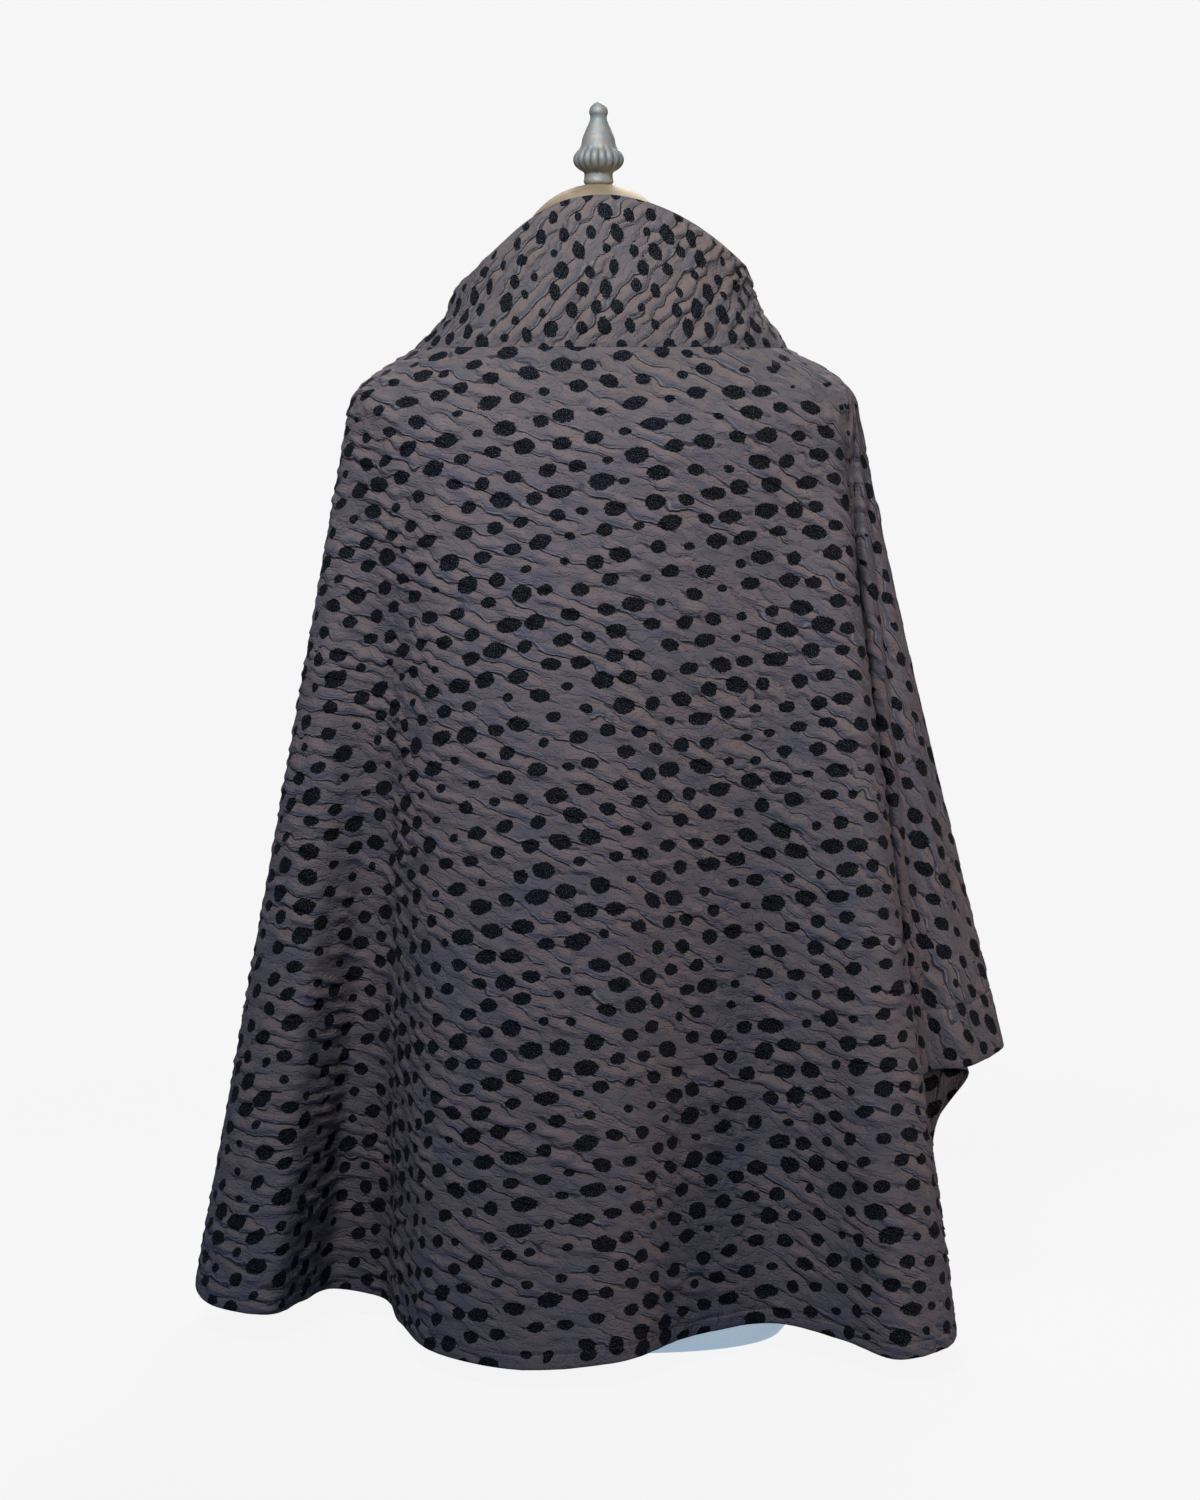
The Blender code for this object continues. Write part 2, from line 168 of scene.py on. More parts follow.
# How the panels and the collar differ: shares of the creases' spacing, bends and height, shares of the
# dots' pitch and size, how marked the creases are, and the dots' turn in degrees
Manner = namedtuple("Manner", "spacing bend ridge pitch dot mark turn")
PANEL_MANNER = Manner(1, 1, 1, 1, 1, 1.15, 26)
COLLAR_MANNER = Manner(0.90, 0.9, 1.2, 0.82, 0.88, 1.6, 50)

# The dots, in metres: half sizes of the large, medium and small ones, and the share of each
Dot = namedtuple("Dot", "half_length half_width share")
DOT_GAP = 0.0045
DOTS = (Dot(0.0084, 0.0057, 0.30), Dot(0.0064, 0.0047, 0.50), Dot(0.0042, 0.0032, 0.20))

# Each dot's own tone, from its row and column
TONES = 997
TONE_STEPS = (7919, 104729)

# How unevenly the dots lie: row pitch and jitter as shares of the pitch, sizes, and turns in degrees
DOT_ROW_PITCH = 0.77
DOT_JITTER = (0.19, 0.14)
DOT_SIZES = (0.86, 1.14)
DOT_TURNS = 8

# A crease is drawn to the ends of a dot: how far from its middle and how widely, in its own half
# lengths, how much it rises there, and how much less steep it is
DOT_END = 1.3
DOT_DRAW = 0.30
DOT_RISE = 1.1
DOT_EASE = 0.3

# How much a ridge sinks over a dot and how widely, and how much it swells from place to place
DOT_SINK = 0.35
DOT_SINK_REACH = 0.9
SWELL = 0.18
SWELL_LIMIT = 1.5

# The strongest ridge, and how soon a weak one is nearly as high
RIDGE_LIMIT = 1.15
RIDGE_POWER = 0.6

# How far one direction of the crinkles reaches before it turns to the next, in metres
LAY_REACH = 0.04

# Tapers towards seams and edges, from the top or the lower end of the cloth: reach and least share.
# The first three are for the crinkles, and the others for half the wall.
Taper = namedtuple("Taper", "reach least")
CALM_TOP = Taper(0.009, 0)
CALM_FOOT = Taper(0.012, 0.25)
CALM_SIDE = Taper(0.010, 0)
PANEL_TOP = Taper(0.004, 0.35)
PANEL_FOOT = Taper(0.0014, 0.3)
COLLAR_TOP = Taper(0.003, 0.3)
COLLAR_FOOT = Taper(0.004, 0.5)
INNER_TOP = Taper(0.004, 0.4)
INNER_FOOT = Taper(0.003, 0.3)

# A hem stitch: its thickness, how far it stands off the cloth, and its share of the pitch
STITCH_THICKNESS = 0.00045
STITCH_LIFT = 0.00035
STITCH_SHARE = 0.72

# The dress form, as sections from the floor to the neck
Section = namedtuple("Section", "height half_width back front power")
TORSO = (
    Section(0, 141, 99, 99, 2.6),
    Section(8, 147, 105, 105, 2.6),
    Section(100, 153, 110, 108, 2.4),
    Section(190, 157, 112, 107, 2.4),
    Section(290, 142, 102, 98, 2.4),
    Section(390, 120, 87, 87, 2.2),
    Section(480, 130, 92, 97, 2.2),
    Section(560, 144, 97, 108, 2.2),
    Section(620, 158, 101, 104, 2.2),
    Section(665, 176, 100, 96, 2.2),
    Section(695, 182, 92, 86, 2.2),
    Section(712, 173, 84, 76, 2.2),
    Section(727, 155.8, 76, 66, 2.2),
    Section(742, 131.2, 68, 60, 2.2),
    Section(757, 96, 60, 55, 2.2),
    Section(770, 68, 54, 51, 2.0),
    Section(790, 54, 50, 49, 2.0),
    Section(838.7, 49, 49, 49, 2.0),
)
TORSO_SIDES = 144
TORSO_STEPS = 7

# The neck cap's dome and the finial's profile
CAP_RADIUS = 0.049
CAP_CURVE = 0.062
CAP_FLAT = 0.0105
CAP_RIM = 0.0012
CAP_BEVEL = 0.0004
CAP_SHOULDER = 0.0006
CAP_STEPS = 24
CAP_SIDES = 96
Turning = namedtuple("Turning", "height radius ribs")
FINIAL = (
    Turning(0.0, 10.0, 0), Turning(1.5, 11.0, 0), Turning(5.5, 10.6, 0), Turning(8.5, 10.8, 0),
    Turning(11.0, 14.5, 0.4), Turning(14.0, 17.6, 1.0), Turning(17.3, 18.9, 1.0), Turning(20.6, 18.6, 1.0),
    Turning(24.0, 16.6, 1.0), Turning(26.5, 14.2, 0.5), Turning(28.5, 13.2, 0), Turning(34.0, 12.0, 0),
    Turning(41.0, 9.2, 0), Turning(46.0, 7.0, 0), Turning(48.5, 6.2, 0), Turning(50.5, 6.3, 0),
    Turning(53.0, 7.0, 0), Turning(55.5, 6.7, 0), Turning(58.0, 5.2, 0), Turning(60.0, 2.8, 0),
    Turning(61.0, 0.8, 0),
)
FINIAL_RIBS = 18
RIB_SIDES = 8
RIB_DEPTH = 0.0013
CAP_LIFT = 0.0003
FINIAL_LIFT = 0.0006

# The stage: the floor's reach, the size of the lights, and the camera, whose focal length is in pixels
# of a picture 1500 high
FLOOR_REACH = 30.0
LIGHT_SIZE = 0.5
WARM_WHITE = (1.0, 0.94, 0.90)
LAMPLIGHT = (1.0, 0.74, 0.50)
SKYLIGHT = (0.44, 0.65, 1.0)
SENSOR = 36
FOCAL_PIXELS = 3583
PICTURE_HEIGHT = 1500
CAMERA_PLACE = (-0.0011, 2.7, 0.70)
CAMERA_TILT = 84.5


def place(across, depth, height):
    """Points in metres from millimetres towards the sleeve, towards the back and up."""
    parts = np.broadcast_arrays(-np.asarray(across) * MM, np.asarray(depth) * MM, np.asarray(height) * MM)
    return np.stack(parts, axis=-1)


def rounded(angle, power):
    """The sine and cosine of a superellipse."""
    sine, cosine = np.sin(angle), np.cos(angle)
    return (np.sign(sine) * np.abs(sine) ** (2 / power),
            np.sign(cosine) * np.abs(cosine) ** (2 / power))


def ring_point(ring, bearing):
    """The point of a ring at a bearing in degrees from the middle of the back."""
    angle = math.radians(bearing)
    sine, cosine = rounded(angle, ring.power)
    across = sine * (ring.right if sine > 0 else ring.left)
    depth = cosine * (ring.back if cosine > 0 else ring.front)
    side_height = ring.right_height if sine > 0 else ring.left_height
    end_height = ring.back_height if cosine > 0 else ring.front_height
    share = math.cos(angle) ** 2
    return place(across, depth, side_height + (end_height - side_height) * share)


def drape_points(fold, falls):
    """Points down a fold line, from the shoulder at 0 to its lower end at 1."""
    start = ring_point(SHOULDER, fold.shoulder)
    end = place(fold.across, fold.depth, fold.height)
    falls = np.asarray(falls)[:, None]
    drift = np.concatenate([falls ** fold.onset, falls ** fold.onset, falls], axis=1)
    return start + (end - start) * drift


def hermite(first, leave, second, arrive, share):
    squared, cubed = share ** 2, share ** 3
    return (first * (2 * cubed - 3 * squared + 1) + leave * (cubed - 2 * squared + share)
            + second * (3 * squared - 2 * cubed) + arrive * (cubed - squared))


def yoke_points(fold, shares):
    """Points on the curve that takes a fold line from the neck seam over the shoulder."""
    start = ring_point(NECK_SEAM, fold.neck)
    end = ring_point(SHOULDER, fold.shoulder)
    onward = drape_points(fold, [0.04])[0] - end
    arrive = onward / np.linalg.norm(onward) * np.linalg.norm(end - start)
    return hermite(start, (end - start) * 0.9, end, arrive, np.asarray(shares)[:, None])


def collar_points(fold, rises):
    """Points of the collar above the neck seam, from the seam at 0 to the rim at 1."""
    knots = [ring_point(NECK_SEAM, fold.neck)] + [ring_point(ring, fold.neck) for ring in COLLAR]
    return np.array([curve_point(knots, rise * (len(knots) - 1)) for rise in rises])


def curve_point(knots, place_on):
    """A point on a smooth curve through the knots, which are one unit apart."""
    last = len(knots) - 1
    index = min(int(place_on), last - 1)
    before, first = knots[max(index - 1, 0)], knots[index]
    second, after = knots[index + 1], knots[min(index + 2, last)]
    return between(before, first, second, after, place_on - index)


def between(before, first, second, after, share):
    """Points between the first and second knots, with tangents that suit uneven spacing."""
    behind, span, ahead = [np.maximum(np.linalg.norm(b - a, axis=-1, keepdims=True), 1e-9)
                           for a, b in ((before, first), (first, second), (second, after))]
    leave = ((first - before) / behind * span + (second - first) / span * behind) / (behind + span)
    arrive = ((second - first) / span * ahead + (after - second) / ahead * span) / (span + ahead)
    return hermite(first, leave * span, second, arrive * span, share)


def unit(vectors):
    return vectors / np.maximum(np.linalg.norm(vectors, axis=-1, keepdims=True), 1e-12)


def hem_depth(fold):
    own = settings("seams")
    return own.sleeve_hem if fold.name in SLEEVE else own.body_hem


def column_falls(length, hem):
    """Rows down the drape, with close ones on both sides of the hem's stitch line and at the edge."""
    stitch = 1 - hem / length
    main = np.linspace(0, stitch - SEAM_STEP / length, DRAPE_ROWS + 1)
    low = np.linspace(stitch + SEAM_STEP / length, 1 - EDGE_STEP / length, HEM_ROWS + 1)
    return np.concatenate([main, [stitch], low, [1.0]])


STITCH_ROW = YOKE_ROWS + DRAPE_ROWS + 1


def column_plan(sample, step):
    """The fold index and share of each column round the cloth, with an even count between two folds."""
    plan = []
    for index in range(len(FOLDS)):
        widest = np.linalg.norm(sample[(index + 1) % len(FOLDS)] - sample[index], axis=1).max()
        own_step = min(step, SLEEVE_STEP) if FOLDS[index].name in SLEEVE else step
        steps = 2 * max(1, round(widest / (2 * own_step)))
        plan += [(index, number / steps) for number in range(steps)]
    return plan


def four_folds(index):
    return [FOLDS[(index + offset) % len(FOLDS)] for offset in (-1, 0, 1, 2)]


@functools.lru_cache(maxsize=None)
def drape_grid():
    """The middle surface of both panels as columns of points, with the column where each fold starts."""
    coarse = [drape_points(fold, np.linspace(0, 1, 9)) for fold in FOLDS]
    plan = column_plan(coarse, COLUMN_STEP)
    yoke = np.linspace(0, 1, YOKE_ROWS + 1)[:-1]
    columns, starts = [], {}
    for number, (index, share) in enumerate(plan):
        if share == 0:
            starts[(index >= len(BACK_FOLDS), FOLDS[index].name)] = number
        four = four_folds(index)
        near, far = four[1], four[2]
        spans = [np.linalg.norm(np.diff(drape_points(fold, [0, 1]), axis=0)) for fold in (near, far)]
        length = spans[0] + (spans[1] - spans[0]) * share
        hem = hem_depth(near) + (hem_depth(far) - hem_depth(near)) * share
        falls = column_falls(length, hem)
        lines = [np.concatenate([yoke_points(fold, yoke), drape_points(fold, falls)]) for fold in four]
        columns.append(between(*lines, share))
    return np.array(columns), starts


@functools.lru_cache(maxsize=None)
def collar_grid():
    """The middle surface of the collar as columns of points, from its rim down to the neck seam."""
    rises = 1 - np.linspace(0, 1, COLLAR_ROWS + 1)
    lines = [collar_points(fold, rises) for fold in FOLDS]
    plan = column_plan(lines, COLLAR_STEP)
    count = len(FOLDS)
    return np.array([between(*[lines[(index + offset) % count] for offset in (-1, 0, 1, 2)], share)
                     for index, share in plan])


def outward(columns):
    """Unit directions away from the form at each point of a closed grid."""
    around = unit(np.roll(columns, -1, axis=0) - columns) + unit(columns - np.roll(columns, 1, axis=0))
    steps = unit(np.diff(columns, axis=1))
    down = np.concatenate([steps[:, :1], steps[:, :-1] + steps[:, 1:], steps[:, -1:]], axis=1)
    return unit(np.cross(down, around)), unit(down)


def flattened(columns, middle):
    """The cloth laid flat, with the middle column upright: the columns fan out as straight lines, then
    settle. Returns the flat points and the lengths down the columns."""
    down = np.linalg.norm(np.diff(columns, axis=1), axis=2)
    lengths = np.concatenate([np.zeros((len(columns), 1)), np.cumsum(down, axis=1)], axis=1)
    angle, corner = 0.0, np.zeros(2)
    tops, angles = [corner], [angle]
    for index in range(len(columns) - 1):
        here, following = columns[index], columns[index + 1]
        shift = float((following[0] - here[0]) @ unit(here[4] - here[0]))
        slip = shift + lengths[index + 1] - lengths[index]
        width = np.sqrt(np.maximum(np.sum((following - here) ** 2, axis=1) - slip ** 2, 1e-9))
        spread, start = np.polyfit(lengths[index], width, 1)
        half = angle + spread / 2
        corner = corner + start * np.array([math.cos(half), math.sin(half)])
        corner = corner + shift * np.array([math.sin(half), -math.cos(half)])
        angle += spread
        tops.append(corner)
        angles.append(angle)
    lines = np.stack([np.sin(angles), -np.cos(angles)], axis=1)
    flat = np.array(tops)[:, None] + lengths[..., None] * lines[:, None]
    for on, down in SETTLING:
        flat = flat + settled(columns, flat, on, down)
    upright = unit(flat[middle, 0] - flat[middle, -1])
    turn = np.array([[upright[1], -upright[0]], upright])
    return (flat - flat[middle, 0]) @ turn.T, lengths


def settled(columns, flat, on, down):
    """How far each flat point moves until neighbours, taken at wide steps, are as far apart as on the
    draped cloth."""
    picks = [np.unique(np.append(np.arange(0, size, step), size - 1))
             for size, step in zip(flat.shape[:2], (on, down))]
    draped, laid = columns[np.ix_(*picks)], flat[np.ix_(*picks)]
    start, speed = laid.copy(), np.zeros(laid.shape)
    body, ahead, behind = slice(None), slice(1, None), slice(None, -1)
    links = [(first, second, np.linalg.norm(draped[second] - draped[first], axis=2))
             for first, second in (
                 ((behind, body), (ahead, body)), ((body, behind), (body, ahead)),
                 ((behind, behind), (ahead, ahead)), ((behind, ahead), (ahead, behind)))]
    for _ in range(SETTLING_ROUNDS):
        push = np.zeros(laid.shape)
        for first, second, length in links:
            gap = laid[second] - laid[first]
            pull = gap * (1 - length / np.linalg.norm(gap, axis=2))[..., None]
            push[first] += pull
            push[second] -= pull
        speed = 0.95 * speed + push * 0.1
        laid = laid + speed
    moved = laid - start
    near_rows = np.stack([np.stack([np.interp(np.arange(flat.shape[1]), picks[1], line[:, part])
                                    for part in range(2)], axis=1) for line in moved])
    place_on = np.interp(np.arange(flat.shape[0]), picks[0], np.arange(len(picks[0])))
    index = np.minimum(place_on.astype(int), len(picks[0]) - 2)
    share = (place_on - index)[:, None, None]
    return near_rows[index] * (1 - share) + near_rows[index + 1] * share


# A piece of cloth: its middle surface, outward and downward directions, flat points, lengths, whether
# it closes on itself, and how deep its hem is at each column
Cloth = namedtuple("Cloth", "name columns out down flat lengths closed hems")


def panel_cloth(name, first, last):
    """The part of the drape grid from one column to another."""
    columns, _ = drape_grid()
    out, down = outward(columns)
    picks = np.arange(first, last + 1) % len(columns)
    own = columns[picks]
    flat, lengths = flattened(own, len(own) // 2)
    hems = lengths[:, -1] - lengths[:, STITCH_ROW]
    return Cloth(name, own, out[picks], down[picks], flat, lengths, False, hems)


@functools.lru_cache(maxsize=None)
def cloth_pieces():
    """The three pieces of cloth, as the maker cut them."""
    _, starts = drape_grid()
    left, top = starts[(False, "left line")], starts[(True, "sleeve top")]
    count = len(drape_grid()[0])
    back = panel_cloth("back", left, top)
    front = panel_cloth("front", top, left + count)
    band = collar_grid()
    out, down = outward(band)
    ring = np.concatenate([band, band[:1]])
    flat, lengths = flattened(ring, len(ring) // 4)
    collar = Cloth("collar", band, out, down, flat, lengths, True, None)
    return {"back": back, "front": front, "collar": collar}


def manner_of(cloth):
    return COLLAR_MANNER if cloth.closed else PANEL_MANNER


def fold_column(cloth, name):
    """The column of a panel on which a fold line lies."""
    grid, starts = drape_grid()
    is_front = cloth.name == "front"
    first = starts[(True, "sleeve top")] if is_front else starts[(False, "left line")]
    return (starts[(is_front, name)] - first) % len(grid)


def lay_anchors(cloth):
    """Flat places and directions of the crinkles, from how they lie as seen from behind or in front."""
    count, rows = cloth.flat.shape[:2]
    if cloth.closed:
        picks = [(column, rows // 2, COLLAR_LAY) for column in range(0, count - 1, count // 16)]
    else:
        picks = [(fold_column(cloth, fold), YOKE_ROWS + round(fall * (rows - 1 - YOKE_ROWS)), lay)
                 for fold, fall, lay in CREASE_LAYS[cloth.name]]
    places, headings = [], []
    for column, row, lay in picks:
        column = min(max(column, 3), len(cloth.columns) - 4)
        row = min(max(row, 3), rows - 4)
        world = np.stack([cloth.columns[column + 3, row] - cloth.columns[column - 3, row],
                          cloth.columns[column, row + 3] - cloth.columns[column, row - 3]], axis=1)
        flat = np.stack([cloth.flat[column + 3, row] - cloth.flat[column - 3, row],
                         cloth.flat[column, row + 3] - cloth.flat[column, row - 3]], axis=1)
        seen = np.array([math.cos(math.radians(lay)), math.sin(math.radians(lay))])
        if cloth.closed:
            heading = unit(flat.T).T @ seen
        else:
            heading = flat @ np.linalg.lstsq(world[[0, 2]], -seen, rcond=1e-2)[0]
        places.append(cloth.flat[column, row])
        headings.append(math.atan2(heading[1], heading[0]))
    return np.array(places), np.array(headings)


def lay_angles(cloth, points):
    """The direction of the crinkles at flat points, blended between the anchors."""
    places, headings = lay_anchors(cloth)
    mean = math.atan2(np.sin(2 * headings).mean(), np.cos(2 * headings).mean()) / 2
    total = np.zeros(points.shape)
    for place_at, heading in zip(places, headings):
        weight = 1 / (np.sum((points - place_at) ** 2, axis=-1) + LAY_REACH ** 2) ** 1.5
        twice = 2 * (heading - mean)
        total += weight[..., None] * np.array([math.cos(twice), math.sin(twice)])
    return mean + np.arctan2(total[..., 1], total[..., 0]) / 2


def banded_noise(shape, spacing, seed):
    """Noise whose ridges are about two spacings apart, with a spread of one."""
    random = np.random.default_rng(seed)
    spectrum = np.fft.rfft2(random.standard_normal(shape))
    up = np.fft.fftfreq(shape[0], CELL)[:, None]
    across = np.fft.rfftfreq(shape[1], CELL)[None, :]
    reach = np.hypot(up, across) * 2 * spacing
    noise = np.fft.irfft2(spectrum * np.exp(-((reach - 0.9) / 0.45) ** 2), s=shape)
    return noise / noise.std()


def looked_up(grid, rows, columns):
    """Values of a grid at fractional rows and columns."""
    rows = np.clip(rows, 0, grid.shape[0] - 1.001)
    columns = np.clip(columns, 0, grid.shape[1] - 1.001)
    low_row, low_column = rows.astype(int), columns.astype(int)
    up, on = rows - low_row, columns - low_column
    return ((grid[low_row, low_column] * (1 - on) + grid[low_row, low_column + 1] * on) * (1 - up)
            + (grid[low_row + 1, low_column] * (1 - on) + grid[low_row + 1, low_column + 1] * on) * up)


def combed(noise, field, reach):
    """Noise smeared along the direction field, so that it runs in long ridges."""
    rows, columns = np.indices(noise.shape).astype(float)
    total = noise.copy()
    steps = max(1, round(reach / (2 * CELL)))
    for sign in (1, -1):
        row, column = rows.copy(), columns.copy()
        last = field * sign
        for step in range(1, steps + 1):
            near_row = np.clip(np.rint(row), 0, noise.shape[0] - 1).astype(int)
            near_column = np.clip(np.rint(column), 0, noise.shape[1] - 1).astype(int)
            heading = field[near_row, near_column]
            heading = heading * np.where(np.sum(heading * last, axis=-1) < 0, -1, 1)[..., None]
            column += heading[..., 0] * 2
            row += heading[..., 1] * 2
            last = heading
            weight = math.cos(math.pi / 2 * step / (steps + 1)) ** 2
            total += looked_up(noise, row, column) * weight
    return total / np.percentile(np.abs(total), 90)


def crinkles(cloth, seed):
    """Two noises a quarter of a ridge apart at each flat point, and a slow one. The first two together
    say how far down the way from one crease to the next a point is, and how strong the ridge is."""
    low = cloth.flat.min(axis=(0, 1)) - 4 * CELL
    high = cloth.flat.max(axis=(0, 1)) + 4 * CELL
    shape = tuple(int(size) for size in np.ceil((high - low)[::-1] / CELL))
    cells = low + (np.indices(shape)[::-1].transpose(1, 2, 0) + 0.5) * CELL
    angle = lay_angles(cloth, cells)
    field = np.stack([np.cos(angle), np.sin(angle)], axis=-1)
    own, manner = settings("creases"), manner_of(cloth)
    spacing = own.spacing * manner.spacing
    first = combed(banded_noise(shape, spacing / 2, seed), field, own.length / 2)
    up_slope, on_slope = np.gradient(first, CELL)
    second = (up_slope * field[..., 0] - on_slope * field[..., 1]) * spacing / (2 * np.pi)
    slow = banded_noise(shape, 0.05, seed + 2)
    depth = own.bend_depth * manner.bend
    first, second = first * manner.mark, second * manner.mark
    bends = [banded_noise(shape, own.bend_spacing / 2, seed + 3 + number) * depth / CELL
             for number in range(2)]
    column = (cloth.flat[..., 0] - low[0]) / CELL - 0.5
    row = (cloth.flat[..., 1] - low[1]) / CELL - 0.5
    bent_column = column + looked_up(bends[0], row, column)
    bent_row = row + looked_up(bends[1], row, column)
    return (looked_up(first, bent_row, bent_column), looked_up(second, bent_row, bent_column),
            looked_up(slow, row, column))


def scattered_dots(cloth, seed):
    """A jittered offset grid of dots over the flat cloth, with a half length, width and turn for each."""
    random = np.random.default_rng(seed)
    low, high = cloth.flat.min(axis=(0, 1)), cloth.flat.max(axis=(0, 1))
    manner = manner_of(cloth)
    pitch = settings("cloth").dot_pitch
    pitch = np.array([pitch, pitch * DOT_ROW_PITCH]) * manner.pitch
    counts = np.ceil((high - low) / pitch).astype(int) + 4
    columns, rows = np.meshgrid(np.arange(counts[0]), np.arange(counts[1]))
    places = np.stack([columns + 0.5 * (rows % 2), rows], axis=-1) * pitch + low - 2 * pitch
    places = places + random.uniform(-1, 1, places.shape) * pitch * np.array(DOT_JITTER)
    kinds = random.choice(len(DOTS), size=places.shape[:2], p=[dot.share for dot in DOTS])
    halves = np.array([[dot.half_length, dot.half_width] for dot in DOTS])[kinds]
    halves = halves * random.uniform(*DOT_SIZES, halves.shape) * manner.dot
    places = spread_apart(places, halves.mean(axis=2) + DOT_GAP / 2)
    halves = halves / np.clip(stretch_at(cloth, places), 1.0, 2.5)[..., None]
    turns = lay_angles(cloth, places) + np.radians(random.normal(manner.turn, DOT_TURNS, kinds.shape))
    return places, halves, turns, pitch, low - 2 * pitch


def stretch(cloth):
    """How much wider the draped cloth is than the flat one at each point, where its folds meet."""
    count = len(cloth.columns)
    draped = np.linalg.norm(cloth.columns[4:] - cloth.columns[:-4], axis=2)
    laid = np.linalg.norm(cloth.flat[4:count] - cloth.flat[:count - 4], axis=2)
    return np.pad(draped / np.maximum(laid, 1e-5), ((2, 2), (0, 0)), "edge")


def stretch_at(cloth, points):
    """The largest stretch round each flat point."""
    ratio = stretch(cloth)[::2, ::5].ravel()
    near = cloth.flat[:len(cloth.columns)][::2, ::5].reshape(-1, 2)
    gaps = np.sum((points.reshape(-1, 1, 2) - near) ** 2, axis=2)
    closest = np.argpartition(gaps, 6, axis=1)[:, :6]
    return ratio[closest].max(axis=1).reshape(points.shape[:2])


def spread_apart(places, reach):
    """Places pushed off their neighbours until few are nearer than both reaches together."""
    shifts = [(up, on) for up in (-2, -1, 0, 1, 2) for on in (-1, 0, 1) if up or on]
    for _ in range(10):
        push = np.zeros(places.shape)
        for shift in shifts:
            gap = places - np.roll(places, shift, axis=(0, 1))
            distance = np.linalg.norm(gap, axis=2)
            wanted = reach + np.roll(reach, shift, axis=(0, 1))
            push += gap * (np.clip(wanted - distance, 0, None) / distance)[..., None]
        places = places + 0.4 * push
    return places


def nearest_dot(points, dots):
    """For each flat point, which dot is nearest when each is measured by its own size."""
    places, halves, turns, pitch, corner = dots
    cell = np.rint((points - corner) / pitch).astype(int)
    best = np.full(len(points), np.inf)
    chosen = np.zeros((len(points), 2), int)
    for up in (-1, 0, 1):
        for on in (-1, 0, 1):
            row = np.clip(cell[:, 1] + up, 0, places.shape[0] - 1)
            column = np.clip(cell[:, 0] + on, 0, places.shape[1] - 1)
            local = dot_space(points, dots, row, column)
            distance = np.sum(local ** 2, axis=1)
            closer = distance < best
            best[closer] = distance[closer]
            chosen[closer] = np.stack([row, column], axis=1)[closer]
    return chosen[:, 0], chosen[:, 1]


def dot_space(points, dots, row, column):
    """Flat points seen from a dot: its outline is where the result is one long."""
    places, halves, turns = dots[:3]
    offset = points - places[row, column]
    cosine, sine = np.cos(turns[row, column]), np.sin(turns[row, column])
    turned = np.stack([offset[:, 0] * cosine + offset[:, 1] * sine,
                       -offset[:, 0] * sine + offset[:, 1] * cosine], axis=1)
    return turned / halves[row, column]


def ease(values, low, high):
    """0 below low and 1 above high, smooth in between."""
    share = np.clip((values - low) / (high - low), 0, 1)
    return share * share * (3 - 2 * share)


def tapered(distances, taper):
    """1 in the open, and smoothly down to the least share at a seam or an edge."""
    return taper.least + (1 - taper.least) * ease(distances, 0.0, taper.reach)


def edge_calm(cloth):
    """How freely the crinkles stand at each point: 0 at a seam or an edge, 1 in the open."""
    lengths = cloth.lengths[:len(cloth.columns)]
    left = lengths[:, -1:] - lengths
    calm = tapered(lengths, CALM_TOP) * tapered(left, CALM_FOOT)
    widths = np.linalg.norm(np.diff(cloth.flat, axis=0), axis=2)
    across = np.concatenate([np.zeros((1, widths.shape[1])), np.cumsum(widths, axis=0)])
    side = np.minimum(across, across[-1:] - across)[:len(cloth.columns)]
    return calm * tapered(side, CALM_SIDE) * (1 - 0.85 * ease(stretch(cloth), 1.15, 1.7))


def relief(cloth, first, second, slow, dots):
    """How far the outer face stands out over its base, with each ridge steep on its lower side. The
    creases are drawn to the ends of the dots. Returns the two noises as changed, and the height."""
    own = settings("creases")
    count, rows = first.shape
    points = cloth.flat[:count].reshape(-1, 2)
    local = dot_space(points, dots, *nearest_dot(points, dots)).reshape(count, rows, 2)
    ends = np.minimum(*[(local[..., 0] - end) ** 2 + local[..., 1] ** 2 for end in (DOT_END, -DOT_END)])
    drawn = np.exp(-ends / DOT_DRAW)
    first, second = first + DOT_RISE * drawn, second * (1 - DOT_EASE * drawn)
    share = np.arctan2(second, first) / (2 * np.pi) % 1.0
    turn = np.where(share < RIDGE_TOP, share / RIDGE_TOP, 2 - (1 - share) / (1 - RIDGE_TOP)) / 2
    ridge = 0.5 - 0.5 * np.cos(2 * np.pi * turn)
    strength = np.clip(np.hypot(first, second), 0, RIDGE_LIMIT) ** RIDGE_POWER
    sunk = 1 - DOT_SINK * np.exp(-np.sum(local ** 2, axis=-1) / DOT_SINK_REACH)
    swell = 1 + SWELL * np.clip(slow, -SWELL_LIMIT, SWELL_LIMIT)
    height = ridge * strength * sunk * swell * own.height
    return first, second, height * manner_of(cloth).ridge


def outer_face(cloth, first, second, slow, dots):
    """The outer face with its crinkles, its seams pulled in and its edge rounded."""
    half = settings("cloth").thickness * 0.5
    count = len(cloth.columns)
    first, second, height = relief(cloth, first[:count], second[:count], slow[:count], dots)
    calm = edge_calm(cloth)
    lengths = cloth.lengths[:count]
    left = lengths[:, -1:] - lengths
    if cloth.closed:
        base = half * tapered(lengths, COLLAR_TOP) * tapered(left, COLLAR_FOOT)
    else:
        base = half * tapered(lengths, PANEL_TOP)
        base[:, STITCH_ROW] -= settings("seams").stitch_depth
        base = base * tapered(left, PANEL_FOOT)
    lift = base + height * calm
    sag = settings("creases").overhang * height * calm
    marks = np.stack([first, second, calm], axis=-1)
    return marks, cloth.columns + cloth.out * lift[..., None] + cloth.down * sag[..., None]


